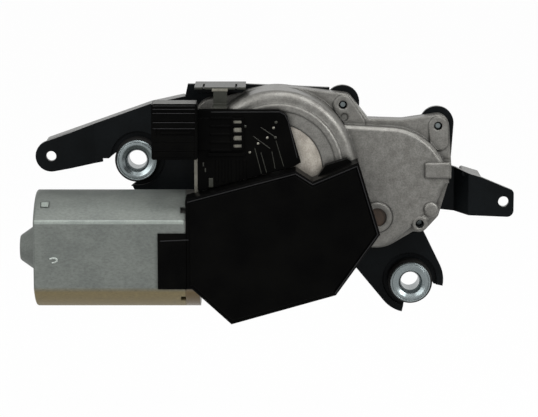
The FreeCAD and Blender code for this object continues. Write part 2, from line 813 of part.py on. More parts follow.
def make_can_bearings():
    """Make the bush in the can's nose, its retainer and the thrust ball behind the shaft."""
    left = "-can_left - can_nose_length + can_wall"
    inner_wall = "-can_left + can_wall"
    bush = ring_profile("shaft_radius + running_clearance", "can_nose_tip_radius", f"{left} + bush_setback",
                        inner_wall)
    keep("rear_bush", armature_turned("rear_bush", bush))
    retainer = ring_profile("shaft_radius + 1", "can_nose_radius", inner_wall,
                            f"{inner_wall} + retainer_thickness")
    keep("bush_retainer", armature_turned("bush_retainer", retainer))
    face = f"{left} + thrust_pad_thickness"
    disc = [(0, left), ("shaft_radius - 1", left), ("shaft_radius - 1", face), (0, face)]
    keep("rear_thrust_pad", armature_turned("rear_thrust_pad", disc))


def make_brush_gear():
    """Make the brush plate, two brush boxes, brushes, springs and chokes at the can's mouth."""
    right = "-can_right + brush_recess_depth"
    left = f"({right}) - brush_plate_thickness"
    plate = ring_profile("commutator_radius + 1", "brush_recess_radius", left, right)
    keep("brush_plate", armature_turned("brush_plate", plate))
    boxes, brushes, springs = [], [], []
    middle = f"({left}) - holder_wall - brush_width / 2"
    for side, turn in ((1, 0), (-1, 180)):
        box = new_body(f"BrushBox{len(boxes)}", 0, "-armature_depth", "-armature_drop",
                       (FreeCAD.Vector(1, 0, 0), turn))
        foot = "commutator_radius + 1.2"
        outer = [(f"{middle} - brush_width / 2 - holder_wall", "-brush_height / 2 - holder_wall"),
                 (f"{middle} + brush_width / 2 + holder_wall", "-brush_height / 2 - holder_wall"),
                 (f"{middle} + brush_width / 2 + holder_wall", "brush_height / 2 + holder_wall"),
                 (f"{middle} - brush_width / 2 - holder_wall", "brush_height / 2 + holder_wall")]
        inner = [(f"{middle} - brush_width / 2", "-brush_height / 2"),
                 (f"{middle} + brush_width / 2", "-brush_height / 2"),
                 (f"{middle} + brush_width / 2", "brush_height / 2"),
                 (f"{middle} - brush_width / 2", "brush_height / 2")]
        pad(box, ABOVE, ("polygon", outer), foot, f"{foot} + holder_length")
        pocket(box, ABOVE, ("polygon", inner), foot, f"{foot} + holder_length - holder_wall")
        boxes.append(box)
        brush = new_body(f"Brush{len(brushes)}", 0, "-armature_depth", "-armature_drop",
                         (FreeCAD.Vector(1, 0, 0), turn))
        face = "commutator_radius + running_clearance"
        pad(brush, ABOVE, ("polygon", inner), face, f"{face} + brush_length")
        brushes.append(brush)
        spring = new_body(f"BrushSpring{len(springs)}", middle, "-armature_depth", "-armature_drop",
                          (FreeCAD.Vector(1, 0, 0), 90 * side))
        turn_count = 2
        for coil in range(turn_count):
            low = f"{face} + brush_length + {coil} * 0.9"
            revolve(spring, ring_profile("brush_spring_radius - brush_spring_wire", "brush_spring_radius",
                                         low, f"{low} + brush_spring_wire"))
        springs.append(spring)
    group("brush_holders", boxes)
    group("carbon_brushes", brushes)
    group("brush_springs", springs)
    chokes = []
    for side in (-1, 1):
        choke = new_body(f"Choke{len(chokes)}", f"({left}) - choke_length - holder_wall",
                         f"-armature_depth + ({side}) * choke_offset", "-armature_drop",
                         ALONG_X)
        revolve(choke, [(0, 0), ("choke_radius", 0), ("choke_radius", "choke_length + holder_wall"),
                        (0, "choke_length + holder_wall")])
        chokes.append(choke)
    group("choke_coils", chokes)


# Gearbox

EARS = (("-ear_one_left", "ear_one_up"), ("ear_two_right", "ear_two_up"),
        ("ear_three_right", "-ear_three_down"))
EAR_RADII = ("ear_radius", "ear_radius", "ear_three_radius")
SADDLE = (-7.5, 37.3, 6.9)
VALLEY = (12, 34, 9.6)
RIGHT_EDGE = (29.4, 20.5, 4.7)
RIGHT_FOOT = (25.2, 1.2, 3.4)
EAR_THREE_ROOT = (10, 2, 9)
FLANGE_CORNER = (-74, 44.5, 9)
PLATEAU_CENTRE = (5, 13)
PLATEAU_ARC = (5, 100)
PLATEAU_LEFT = [(-18, 42.2), (5, 40.8), (5, 0), (-18, 0)]
PLATEAU_SIDE = (30.4, 16.6, 1.2)
SIDE_BLOCK = [(21.7, 18.0), (33.4, 18.0), (33.4, 24.9), (21.7, 24.9)]
PIP = (24.5, 3.2)
EAR_PAD_ENDS = ((-9.5, 42), (28.4, 34))
EAR_DIMPLE = (-14.9, 45.1)


def body_outlines():
    """Return the overlapping outlines of the gear housing's flange."""
    wheel = (WHEEL_X, WHEEL_Z, "dome_radius")
    output = (0, 0, "output_boss_radius")
    ears = [(x, z, radius) for (x, z), radius in zip(EARS, EAR_RADII)]
    return [("hull", [wheel, output]),
            ("hull", [output, RIGHT_FOOT, RIGHT_EDGE, VALLEY, SADDLE]),
            ("hull", [wheel, SADDLE, ears[0]]),
            ("hull", [VALLEY, RIGHT_EDGE, ears[1]]),
            ("hull", [EAR_THREE_ROOT, ears[2], RIGHT_FOOT]),
            ("hull", [wheel, FLANGE_CORNER])]


def cut_linkage_room(body, back, wheel_front, link_front):
    """Cut the room for the wheel, and for the rod and lever over their whole swing."""
    wheel_room = f"{WHEEL_PITCH} + tooth_addendum + cavity_clearance"
    pocket(body, FRONT, ("circle", WHEEL_X, WHEEL_Z, wheel_room), back, wheel_front)
    hub = (0, 0, "lever_hub_radius + cavity_clearance")
    eye_room = "rod_eye_radius + cavity_clearance"
    for angle in ("park_angle", "(park_angle + swing_angle)"):
        eye = polar(0, 0, "crank_radius", angle)
        pocket(body, FRONT, ("hull", [hub, (*eye, eye_room)]), back, link_front)
    sweep_radius = f"crank_radius + {eye_room}"
    pocket(body, FRONT, ("sector", 0, 0, 0, sweep_radius, "park_angle", "park_angle + swing_angle"),
           back, link_front)
    reach = value(sweep_radius)
    centre = (value(WHEEL_X), value(WHEEL_Z))
    span = math.hypot(*centre)
    lean = (centre[1] / span * reach, -centre[0] / span * reach)
    channel = [(0, 0), lean, (centre[0] + lean[0], centre[1] + lean[1]), centre]
    pocket(body, FRONT, ("polygon", channel), back, link_front)


def add_plateau(body):
    """Raise the roof over the rod and lever, with the pads round the two upper screws."""
    eye = (*polar(0, 0, "crank_radius", "park_angle"), "rod_eye_radius + 2")
    shapes = [("sector", *PLATEAU_CENTRE, 0, "plateau_radius", *PLATEAU_ARC), ("polygon", PLATEAU_LEFT),
              ("hull", [(0, 0, "output_boss_radius - 1.5"), eye]),
              ("hull", [(*PLATEAU_CENTRE, 1), eye, PLATEAU_SIDE])]
    for shape in shapes:
        pad(body, FRONT, shape, "ear_front", "plateau_front")
    plateau = -value("plateau_front")
    chamfer(body, "plateau_round", lambda edge: edge.BoundBox.YMax < plateau + 0.01)
    for ear, end in zip(EARS, EAR_PAD_ENDS):
        pad(body, FRONT, ("hull", [(*ear, "ear_radius - 0.6"), (*end, "ear_pad_end")]),
            "ear_front", "ear_front + ear_pad_height")
    pocket(body, FRONT, ("circle", *EAR_DIMPLE, "ear_dimple_radius"),
           "ear_front + ear_pad_height - ear_dimple_depth", "ear_front + ear_pad_height")


def add_dome(body):
    """Raise the wheel's dome: a rounded shoulder, a ring round its face and a dished middle."""
    middle = (WHEEL_X, WHEEL_Z)
    pad(body, FRONT, ("circle", *middle, "dome_radius"), "ear_front", "dome_front - dome_shoulder")
    shoulder = -value("dome_front - dome_shoulder")
    fillet(body, "dome_round", lambda edge: edge.BoundBox.YMax < shoulder + 0.01)
    pad(body, FRONT, ("circle", *middle, "dome_ring_radius"), "dome_front - dome_shoulder", "dome_front")
    front = -value("dome_front")
    fillet(body, "dome_ring_round", lambda edge: edge.BoundBox.YMax < front + 0.01)
    pocket(body, FRONT, ("circle", *middle, "dome_ring_inner"), "dome_front - dome_ring_depth", "dome_front")
    pocket(body, FRONT, ("circle", *middle, "dome_recess_radius"),
           "dome_front - dome_recess_depth", "dome_front - dome_ring_depth")


def make_gear_housing():
    """Cast the housing: wheel dome, linkage plateau, worm tunnel, motor flange and screw ears."""
    body = new_body("GearHousing")
    for outline in body_outlines():
        pad(body, FRONT, outline, "housing_rim", "ear_front")
    add_plateau(body)
    add_dome(body)
    pad(body, FRONT, ("polygon", SIDE_BLOCK), "ear_front", "plateau_front + side_block_height")
    pad(body, FRONT, ("circle", *PIP, "pip_radius"), "ear_front", "plateau_front")
    tunnel_place = ("-armature_depth", "-armature_drop")
    pad(body, SIDE, ("circle", *tunnel_place, "tunnel_radius"), "-can_right + 1", "-tunnel_right")
    pad(body, SIDE, ("flatted", *tunnel_place, "can_radius", "can_flat"),
        "-can_right", "-can_right + motor_flange_width")
    pad(body, SIDE, ("flatted", *tunnel_place, "can_radius - can_wall", "can_flat - can_wall"),
        "-can_right - can_spigot", "-can_right")
    pad(body, FRONT, ("circle", 0, 0, "output_ring_radius"), "plateau_front",
        "plateau_front + output_ring_height")
    cut_linkage_room(body, "housing_rim", "dome_front - dome_wall", "cavity_front")
    # Worm tunnel, bush seat and thrust screw
    pocket(body, SIDE, ("circle", *tunnel_place, "tunnel_bore"),
           "-can_right", "-shaft_end_right - shaft_end_length")
    pocket(body, SIDE, ("circle", *tunnel_place, "worm_end_bush_radius"),
           "-shaft_end_right - shaft_end_length", "-shaft_end_right")
    pocket(body, SIDE, ("circle", *tunnel_place, "thrust_screw_radius"), "-shaft_end_right", "-tunnel_right")
    pocket(body, SIDE, ("flatted", *tunnel_place, "can_radius - can_wall - 1.6", "can_flat - can_wall - 1.4"),
           "-can_right - can_spigot", "-can_right")
    pocket(body, SIDE, ("circle", *tunnel_place, "brush_recess_radius"),
           "-can_right", "-can_right + brush_recess_depth")
    # Axle bore, screw holes and face details
    pocket(body, FRONT, ("circle", WHEEL_X, WHEEL_Z, "axle_radius"), "dome_front - dome_wall", "dome_front")
    for x, z in EARS:
        pocket(body, FRONT, ("circle", x, z, "ear_screw_radius"), "housing_rim", "ear_front + ear_pad_height")
    pocket(body, FRONT, ("circle", 0, 0, "output_disc_radius"), "plateau_front",
           "plateau_front + output_ring_height")
    keep("gear_housing", body)


def make_gearbox_gasket():
    """Cut the flat seal that lies between the housing's rim and the bracket's plate."""
    body = new_body("GearboxGasket")
    back, front = "plate_front", "housing_rim"
    for outline in body_outlines():
        pad(body, FRONT, outline, back, front)
    cut_linkage_room(body, back, front, front)
    for x, z in EARS:
        pocket(body, FRONT, ("circle", x, z, "ear_screw_radius"), back, front)
    keep("gearbox_gasket", body)


def make_worm_wheel():
    """Mould the worm wheel: blank, rim and hub, crank boss, and slanted gashes for the teeth."""
    body = new_body("WormWheel", WHEEL_X, 0, WHEEL_Z)
    tip = f"{WHEEL_PITCH} + tooth_addendum"
    pad(body, FRONT, ("circle", 0, 0, tip), "wheel_back", "wheel_front")
    root = f"({WHEEL_PITCH} - tooth_dedendum)"
    rim = f"({root} - wheel_rim)"
    hub = "(axle_boss_radius + 1)"
    floor = "wheel_front - wheel_web_recess"
    recess = pocket(body, FRONT, ("sector", 0, 0, hub, rim, 0, "wheel_pocket_angle"), floor, "wheel_front")
    pattern_about_axis(body, recess, "Y_Axis", "wheel_ribs")
    crank = polar(0, 0, "crank_radius", "park_angle")
    pad(body, FRONT, ("circle", *crank, "pin_radius + 1.6"),
        "rod_front + running_clearance * 10", "wheel_back")
    slope = math.tan(math.radians(value("pressure_angle")))
    space = value("gear_module") * math.pi - value("tooth_width")
    pitch_radius = value(WHEEL_PITCH)
    top = pitch_radius + value("tooth_addendum") + 0.5
    low = pitch_radius - value("tooth_dedendum")
    half_top = space / 2 + (top - pitch_radius) * slope
    half_low = space / 2 - (pitch_radius - low) * slope
    gash = [(-half_low, -low), (-half_top, -top), (half_top, -top), (half_low, -low)]
    sketch = new_sketch(body, "GashProfile", FRONT, "armature_depth")
    draw_polygon(sketch, gash)
    lead_angle = math.degrees(math.atan(value("gear_module / 2 / worm_pitch_radius")))
    sketch.AttachmentOffset = FreeCAD.Placement(FreeCAD.Vector(0, 0, value("armature_depth")),
                                                FreeCAD.Rotation(FreeCAD.Vector(0, 1, 0), lead_angle))
    feature = body.newObject("PartDesign::Pocket", "Gash")
    feature.Profile = sketch
    feature.SideType = "Symmetric"
    bind(feature, "Length", "wheel_width * 1.5")
    body.Tip = feature
    pattern_about_axis(body, feature, "Y_Axis", "wheel_teeth")
    pocket(body, FRONT, ("circle", 0, 0, "axle_radius + 1.5"), "wheel_back", "wheel_front")
    pocket(body, FRONT, ("circle", *crank, "pin_radius"), "rod_front", floor)
    keep("worm_wheel", body)


def make_linkage():
    """Make the crank pin, connecting rod, output lever and lever pin."""
    wheel_crank = polar(WHEEL_X, WHEEL_Z, "crank_radius", "park_angle")
    lever_eye = polar(0, 0, "crank_radius", "park_angle")
    pin = new_body("CrankPin")
    pad(pin, FRONT, ("circle", *wheel_crank, "pin_radius"),
        "rod_depth - layer_gap / 2", "wheel_front - wheel_web_recess")
    keep("crank_pin", pin)
    rod = new_body("ConnectingRod")
    bar = [(*wheel_crank, "rod_width / 2"), (*lever_eye, "rod_width / 2")]
    pad(rod, FRONT, ("hull", bar), "rod_depth", "rod_front")
    for eye in (wheel_crank, lever_eye):
        pad(rod, FRONT, ("circle", *eye, "rod_eye_radius"), "rod_depth", "rod_front")
    pocket(rod, FRONT, ("circle", *wheel_crank, "pin_radius + running_clearance"), "rod_depth", "rod_front")
    pocket(rod, FRONT, ("circle", *lever_eye, "pin_radius + open_pivot_clearance"), "rod_depth", "rod_front")
    keep("connecting_rod", rod)
    lever = new_body("OutputLever")
    lever_front = "lever_depth + link_thickness"
    arm = [(0, 0, "lever_hub_radius"), (*lever_eye, "rod_eye_radius")]
    pad(lever, FRONT, ("hull", arm), "lever_depth", lever_front)
    pocket(lever, FRONT, ("circle", 0, 0, "output_radius - 1"), "lever_depth", lever_front)
    pocket(lever, FRONT, ("circle", *lever_eye, "pin_radius"), "lever_depth", lever_front)
    keep("output_lever", lever)
    lever_pin = new_body("LeverPin")
    pad(lever_pin, FRONT, ("circle", *lever_eye, "pin_radius"), "lever_depth", "rod_front + layer_gap")
    keep("lever_pin", lever_pin)


def make_wheel_axle():
    """Make the axle pressed into the dome, the wheel's bush and the clip that holds the wheel."""
    front, back = "-dome_front + dome_ring_depth", "-wheel_back + 2.2"
    axle = [(0, front), ("axle_radius", front), ("axle_radius", back), (0, back)]
    keep("wheel_axle", turned("wheel_axle", axle, WHEEL_X, 0, WHEEL_Z))
    bush = ring_profile("axle_radius + running_clearance", "axle_radius + 1.5", "-wheel_front", "-wheel_back")
    keep("wheel_bush", turned("wheel_bush", bush, WHEEL_X, 0, WHEEL_Z))
    spacer = ring_profile("axle_radius", "axle_radius + 3", "-(dome_front - dome_wall)", "-wheel_front - 0.1")
    keep("wheel_thrust_washer", turned("wheel_thrust_washer", spacer, WHEEL_X, 0, WHEEL_Z))
    clip = ring_profile("axle_radius", "axle_radius + 2.4", "-wheel_back + 0.1", "-wheel_back + 1.1")
    keep("wheel_retaining_clip", turned("wheel_retaining_clip", clip, WHEEL_X, 0, WHEEL_Z))


def make_tunnel_bearings():
    """Make the ball bearing in the tunnel, the bush at the worm's end and the thrust screw."""
    left, right = "-bearing_left", "-bearing_left + bearing_width"
    outer = ring_profile("tunnel_bore - bearing_race", "tunnel_bore", left, right)
    keep("bearing_outer_race", armature_turned("bearing_outer_race", outer))
    inner = ring_profile("shaft_radius", "shaft_radius + bearing_race", left, right)
    keep("bearing_inner_race", armature_turned("bearing_inner_race", inner))
    balls = []
    for index in range(int(value("bearing_balls"))):
        ball = doc.addObject("Part::Sphere", f"Ball{index}")
        bind(ball, "Radius", "(tunnel_bore - shaft_radius) / 2 - bearing_race - running_clearance")
        angle = f"{index} * 360 / bearing_balls"
        bind(ball, "Placement.Base.x", "-bearing_left + bearing_width / 2")
        bind(ball, "Placement.Base.y", f"-armature_depth + (tunnel_bore + shaft_radius) / 2 * cos({angle})")
        bind(ball, "Placement.Base.z", f"-armature_drop + (tunnel_bore + shaft_radius) / 2 * sin({angle})")
        balls.append(ball)
    group("bearing_balls", balls)
    end_left, end_right = "-shaft_end_right - shaft_end_length", "-shaft_end_right"
    bush = ring_profile("shaft_end_radius + running_clearance", "worm_end_bush_radius",
                        f"{end_left} + 0.1", end_right)
    keep("worm_end_bush", armature_turned("worm_end_bush", bush))
    screw = [(0, f"{end_right} + 0.1"), ("thrust_screw_radius", f"{end_right} + 0.1"),
             ("thrust_screw_radius", "-tunnel_right"), (0, "-tunnel_right")]
    keep("thrust_screw", armature_turned("thrust_screw", screw))


# Output

def make_output_shaft():
    """Turn the output shaft: lever seat, journal, clip groove, taper and threaded end."""
    head = "-(lever_depth + link_thickness)"
    groove = "-clip_groove_place"
    groove_back = f"{groove} - clip_groove_width"
    profile = [(0, head), ("output_radius - 1", head), ("output_radius - 1", "-lever_depth"),
               ("output_radius", "-lever_depth"), ("output_radius", groove_back),
               ("output_radius - clip_groove_depth", groove_back),
               ("output_radius - clip_groove_depth", groove), ("output_radius", groove),
               ("output_radius", "journal_end"), ("taper_end_radius", "journal_end + taper_length"),
               ("thread_radius", "journal_end + taper_length"),
               ("thread_radius", "journal_end + taper_length + thread_length - 0.8"),
               ("thread_radius - 0.8", "journal_end + taper_length + thread_length"),
               (0, "journal_end + taper_length + thread_length")]
    keep("output_shaft", turned("output_shaft", profile))
    clip = ring_profile("output_radius - clip_groove_depth", "output_radius + 1.6",
                        f"{groove_back} + 0.1", f"{groove} - 0.1")
    keep("shaft_circlip", turned("shaft_circlip", clip))
    washer = ring_profile("output_radius + running_clearance", "tube_radius - 0.6", "-tube_end",
                          "-tube_end + washer_thickness")
    keep("shaft_washer", turned("shaft_washer", washer))


def rivet_place(index):
    """Return the place of one of the rivets that hold the bearing tube."""
    return polar(0, 0, "tube_rivet_circle", f"60 + {index} * 360 / tube_rivets")


def make_bearing_tube():
    """Turn the flanged tube that carries the output shaft, its two bushes and its rivets."""
    flange_back = "-plate_back + tube_flange_thickness"
    tube = new_body("BearingTube")
    ears = [(*rivet_place(index), "tube_rivet_radius + 2.2") for index in range(int(value("tube_rivets")))]
    pad(tube, FRONT, ("hull", ears), "plate_back - tube_flange_thickness", "plate_back")
    revolve(tube, [(0, "-plate_front"), ("tube_radius", "-plate_front"), ("tube_radius", "-plate_back"),
                   ("tube_radius + 3", "-plate_back"), ("tube_radius + 3", flange_back),
                   ("tube_radius + 1.2", flange_back), ("tube_radius", f"{flange_back} + 3"),
                   ("tube_radius", "-tube_end"), (0, "-tube_end")])
    pocket(tube, FRONT, ("circle", 0, 0, "tube_bore"), "tube_end", "plate_front")
    for x, z, _ in ears:
        pocket(tube, FRONT, ("circle", x, z, "tube_rivet_radius"),
               "plate_back - tube_flange_thickness", "plate_back")
    keep("bearing_tube", tube)
    bushes = []
    for low, high in (("-plate_front", "-plate_front + output_bush_length"),
                      ("-tube_end - output_bush_length", "-tube_end")):
        bushes.append(turned(f"output_bush_{len(bushes)}",
                             ring_profile("output_radius + running_clearance", "tube_bore", low, high)))
    group("output_bushes", bushes)
    rivets = []
    for index in range(int(value("tube_rivets"))):
        place = rivet_place(index)
        head = "tube_rivet_radius + 1.3"
        back, front = "-plate_back + tube_flange_thickness", "-plate_front"
        profile = [(0, front), ("tube_rivet_radius", front), ("tube_rivet_radius", back), (head, back),
                   (f"{head} - 0.8", f"{back} + 1.1"), (0, f"{back} + 1.1")]
        rivets.append(turned(f"tube_rivet_{index}", profile, place[0], 0, place[1]))
    group("tube_rivets", rivets)


# Mounting bracket

LEFT_ARM_ROOT = (-101, 41.6, 8.6)
LEFT_ARM_WAIST = (-119, 32.6, 8.2)
LEFT_ARM_HEEL = (-112, 30, 5.4)
TOP_LEFT = (-86.5, 45.4, 8)
LOW_LEFT = (-104.2, 14.6, 8.2)
LOW_MIDDLE = (-80, 16, 8)
TOP_LUG = [(-88.2, 50), (-86.2, 59), (-60, 59), (-21.5, 57.4), (-21.5, 50)]
SHELF_ENDS = ((-80.6, 57, 2), (-61.6, 57, 2))
LOBE_ONE_ROOT = (-14, 44, 6)
NECK_RIGHT = (14.5, -6, 5.5)
NECK_LEFT = (-6, -15, 9.5)
RIGHT_FLANGE = ((40, 17.45, 2), (47, 15.3, 2), ("right_arm_end - 2", 9.5, 2))
RIGHT_ARM_LOW = ((30, 8, 7), (43, 2.7, 3.2))
RIGHT_ARM_TOP = (34, 19.3, 2)
RIGHT_ARM_ROOT = 24
PLATE_MARGIN = 0.6


def make_plate():
    """Stamp the bracket's main plate with its claws, lobes and holes."""
    plate = new_body("BracketPlate")
    wheel = (WHEEL_X, WHEEL_Z, "dome_radius - 0.6")
    output = (0, 0, "output_boss_radius + 0.5")
    lobes = [("-ear_one_left", "ear_one_up", "lobe_radius"), ("ear_two_right", "ear_two_up", "lobe_radius")]
    ear_three = ("ear_three_right", "-ear_three_down", "ear_radius - 1.2")
    claw = ("lower_grommet_right", "-lower_grommet_down", "claw_radius")
    valley, saddle = [(x, z, radius - PLATE_MARGIN) for x, z, radius in (VALLEY, SADDLE)]
    outlines = [[LEFT_ARM_ROOT, LOW_LEFT, LOW_MIDDLE, TOP_LEFT], [TOP_LEFT, LOW_MIDDLE, wheel],
                [wheel, output], [output, RIGHT_FOOT, RIGHT_EDGE, valley, saddle],
                [RIGHT_EDGE, lobes[1]], [LOBE_ONE_ROOT, lobes[0]], [wheel, saddle, LOBE_ONE_ROOT],
                [EAR_THREE_ROOT, ear_three, RIGHT_FOOT], [claw, NECK_RIGHT, NECK_LEFT]]
    for circles in outlines:
        pad(plate, FRONT, ("hull", circles), "plate_back", "plate_front")
    pad(plate, FRONT, ("polygon", TOP_LUG), "plate_back", "plate_front")
    for x, z, *_ in grommet_places():
        pad(plate, FRONT, ("circle", x, z, "claw_dish_radius"), "plate_back - claw_dish_depth", "plate_back")
    pocket(plate, FRONT, ("circle", 0, 0, "tube_radius"), "plate_back", "plate_front")
    for index in range(int(value("tube_rivets"))):
        place = rivet_place(index)
        pocket(plate, FRONT, ("circle", *place, "tube_rivet_radius"), "plate_back", "plate_front")
    for x, z in EARS:
        pocket(plate, FRONT, ("circle", x, z, "ear_screw_radius"), "plate_back", "plate_front")
    return plate


def grommet_places():
    """Return each claw's centre, the direction that its slot opens and half the angle of its mouth."""
    return [("-upper_grommet_left", "upper_grommet_up", "upper_slot_angle", "upper_mouth_angle"),
            ("lower_grommet_right", "-lower_grommet_down", "lower_slot_angle", "lower_mouth_angle")]


def bent_arm(name, section, outlines, low, high):
    """Make an arm of bent sheet: its section seen from above, trimmed by its front outlines."""
    sheet_body = new_body(name + "Sheet")
    pad(sheet_body, ABOVE, ("polygon", section), low, high)
    trim = new_body(name + "Trim")
    for circles in outlines:
        pad(trim, FRONT, ("hull", circles), 0, 60)
    return common(name, sheet_body, trim)


def make_mounting_bracket():
    """Form the bracket: plate, two bent arms, turned top flanges and the top shelf."""
    plate = make_plate()
    back, front = "-plate_back", "-plate_front"
    pad_end = "-left_hole_left - left_pad_radius - 1"
    left_section = [(pad_end, f"{back} - left_joggle"), ("-left_joggle_end", f"{back} - left_joggle"),
                    ("-left_joggle_start", back), (LEFT_ARM_ROOT[0], back), (LEFT_ARM_ROOT[0], front),
                    ("-left_joggle_start", front), ("-left_joggle_end", f"{front} - left_joggle"),
                    (pad_end, f"{front} - left_joggle")]
    left_pad = ("-left_hole_left", "left_hole_up", "left_pad_radius")
    left_outlines = [[left_pad, LEFT_ARM_WAIST, LEFT_ARM_ROOT],
                     [LEFT_ARM_WAIST, LEFT_ARM_HEEL, LEFT_ARM_ROOT]]
    left_arm = bent_arm("LeftArm", left_section, left_outlines, 0, 60)
    right_end = "right_arm_end + 1"
    right_section = [(RIGHT_ARM_ROOT, back), ("right_joggle_start", back),
                     ("right_joggle_end", f"{back} - right_joggle"),
                     (right_end, f"{back} - right_joggle"), (right_end, f"{front} - right_joggle"),
                     ("right_joggle_end - 1", f"{front} - right_joggle"), ("right_joggle_start - 1", front),
                     (RIGHT_ARM_ROOT, front)]
    right_outline = [*RIGHT_ARM_LOW, ("right_arm_end - right_arm_corner", 1.8, "right_arm_corner"),
                     RIGHT_FLANGE[2], RIGHT_FLANGE[1], RIGHT_ARM_TOP]
    right_arm = bent_arm("RightArm", right_section, [right_outline], -10, 40)
    flanges = make_flanges()
    joined = fuse("BracketJoined", [plate, left_arm, right_arm, *flanges])
    drills = new_body("BracketDrills")
    pad(drills, FRONT, ("circle", "-left_hole_left", "left_hole_up", "left_hole_radius"), 10, 60)
    pad(drills, FRONT, ("circle", "right_hole_right", "right_hole_up", "right_hole_radius"), 10, 60)
    for x, z, angle, half in grommet_places():
        mouth = polar(x, z, "slot_reach", angle)
        pad(drills, FRONT, ("circle", x, z, "claw_dish_radius - 1.2"), "plate_front - claw_dish_depth", 40)
        pad(drills, FRONT, ("hull", [(x, z, "claw_slot_radius"), (*mouth, "claw_slot_radius")]), 10, 40)
        pad(drills, FRONT, ("sector", x, z, 0, "claw_radius + 0.5", f"{angle} - {half}", f"{angle} + {half}"),
            10, 40)
    keep("mounting_bracket", cut("BracketDrilled", joined, drills))


def edge_strip(name, first, second, start, end):
    """Make a strip that follows the upper tangent of two circles, from one depth to another."""
    (x0, z0, r0), (x1, z1, r1) = [tuple(value(item) for item in circle) for circle in (first, second)]
    span = math.hypot(x1 - x0, z1 - z0)
    normal = math.atan2(z1 - z0, x1 - x0) + math.pi / 2 - math.asin((r1 - r0) / span)
    half = value("flange_thickness") / 2
    body = new_body(name)
    sunk = half + 0.1
    ends = [(x + (r - sunk) * math.cos(normal), z + (r - sunk) * math.sin(normal), half)
            for x, z, r in ((x0, z0, r0), (x1, z1, r1))]
    pad(body, FRONT, ("hull", ends), start, end)
    return body


def make_flanges():
    """Turn the flanges back along the tops of the two arms."""
    low = "plate_back - flange_depth"
    high = "plate_front - plate_thickness / 2"
    left_pad = ("-left_hole_left", "left_hole_up", "left_pad_radius")
    bend, middle, end = RIGHT_FLANGE
    reach = "plate_back + right_joggle"
    return [edge_strip("LeftFlange", left_pad, LEFT_ARM_ROOT, low, high),
            edge_strip("LeftFlangeTop", LEFT_ARM_ROOT, TOP_LEFT, low, high),
            edge_strip("RightFlange", bend, middle, low, reach),
            edge_strip("RightFlangeEnd", middle, end, "plate_back", f"{reach} + 1"),
            edge_strip("TopFlange", *SHELF_ENDS, "plate_back", "clip_reach - 6")]


def make_carrier_clip():
    """Bend the spring strap that hooks over the bracket's shelf and holds the carrier plate."""
    level = ("clip_top - clip_thickness", "clip_top")
    span = ("-clip_strap_left", "-clip_strap_right")
    shelf = block("ClipShelf", ("-clip_left", "-clip_right"), ("-clip_reach", "-plate_front + 0.5"), level)
    drop = block("ClipDrop", span, ("-clip_reach", "-clip_reach + clip_thickness"), ("clip_toe", "clip_top"))
    toe = block("ClipToe", span, ("-carrier_front", "-clip_reach + clip_thickness"),
                ("clip_toe", "clip_toe + clip_thickness"))
    slits = []
    for index, middle in enumerate(("-clip_slit", "-clip_strap_right + 4")):
        across = (f"{middle} - clip_slit_width / 2", f"{middle} + clip_slit_width / 2")
        along = ("-clip_reach - 1", "-clip_reach + clip_slit_length")
        slits.append(block(f"ClipSlit{index}", across, along, level))
    joined = fuse("ClipJoined", [shelf, drop, toe])
    keep("carrier_clip", cut("ClipSlitted", joined, fuse("ClipSlits", slits)))


def make_grommets():
    """Mould the two rubber grommets and turn the two flanged sleeves inside them."""
    grommets, sleeves = [], []
    groove_front = "(plate_front - claw_dish_depth)"
    groove_back = "(plate_back - claw_dish_depth)"
    for x, z, *_ in grommet_places():
        back = "grommet_front - grommet_length"
        round_off = 1.0
        rim, groove = "grommet_radius", "grommet_groove_radius"
        profile = [("sleeve_radius", f"-({back})"), (f"{rim} - {round_off}", f"-({back})"),
                   (rim, f"-({back}) - {round_off}"), (rim, f"-{groove_back}"),
                   (groove, f"-{groove_back}"), (groove, f"-{groove_front}"), (rim, f"-{groove_front}"),
                   (rim, f"-grommet_front + {round_off}"), (f"{rim} - {round_off}", "-grommet_front"),
                   ("sleeve_radius", "-grommet_front")]
        grommets.append(turned(f"grommet_{len(grommets)}", profile, x, 0, z))
        face = "grommet_front + sleeve_flange_thickness"
        end = f"{face} - sleeve_length"
        profile = [("sleeve_bore", f"-({end})"), ("sleeve_radius", f"-({end})"),
                   ("sleeve_radius", "-grommet_front"),
                   ("sleeve_flange_radius", "-grommet_front"), ("sleeve_flange_radius", f"-({face}) + 0.3"),
                   ("sleeve_flange_radius - 0.3", f"-({face})"), ("sleeve_bore + sleeve_mouth", f"-({face})"),
                   ("sleeve_bore + 0.5", f"-({face}) + 1.6"), ("sleeve_bore", f"-({face}) + 3.4")]
        sleeves.append(turned(f"sleeve_{len(sleeves)}", profile, x, 0, z))
    group("grommets", grommets)
    group("grommet_sleeves", sleeves)


def make_bracket_screws():
    """Make the three screws that pass through the plate from behind into the housing's ears."""
    screws = []
    for x, z in EARS:
        tip = "-(ear_front - 1.2)"
        profile = [(0, tip), ("ear_screw_radius - 0.7", tip), ("ear_screw_radius", f"{tip} + 0.9"),
                   ("ear_screw_radius", "-plate_back"), ("ear_radius - 1.2", "-plate_back"),
                   ("ear_radius - 1.2", "-plate_back + 2.2"), (0, "-plate_back + 2.2")]
        screws.append(turned(f"bracket_screw_{len(screws)}", profile, x, 0, z))
    group("bracket_screws", screws)


# Electronics

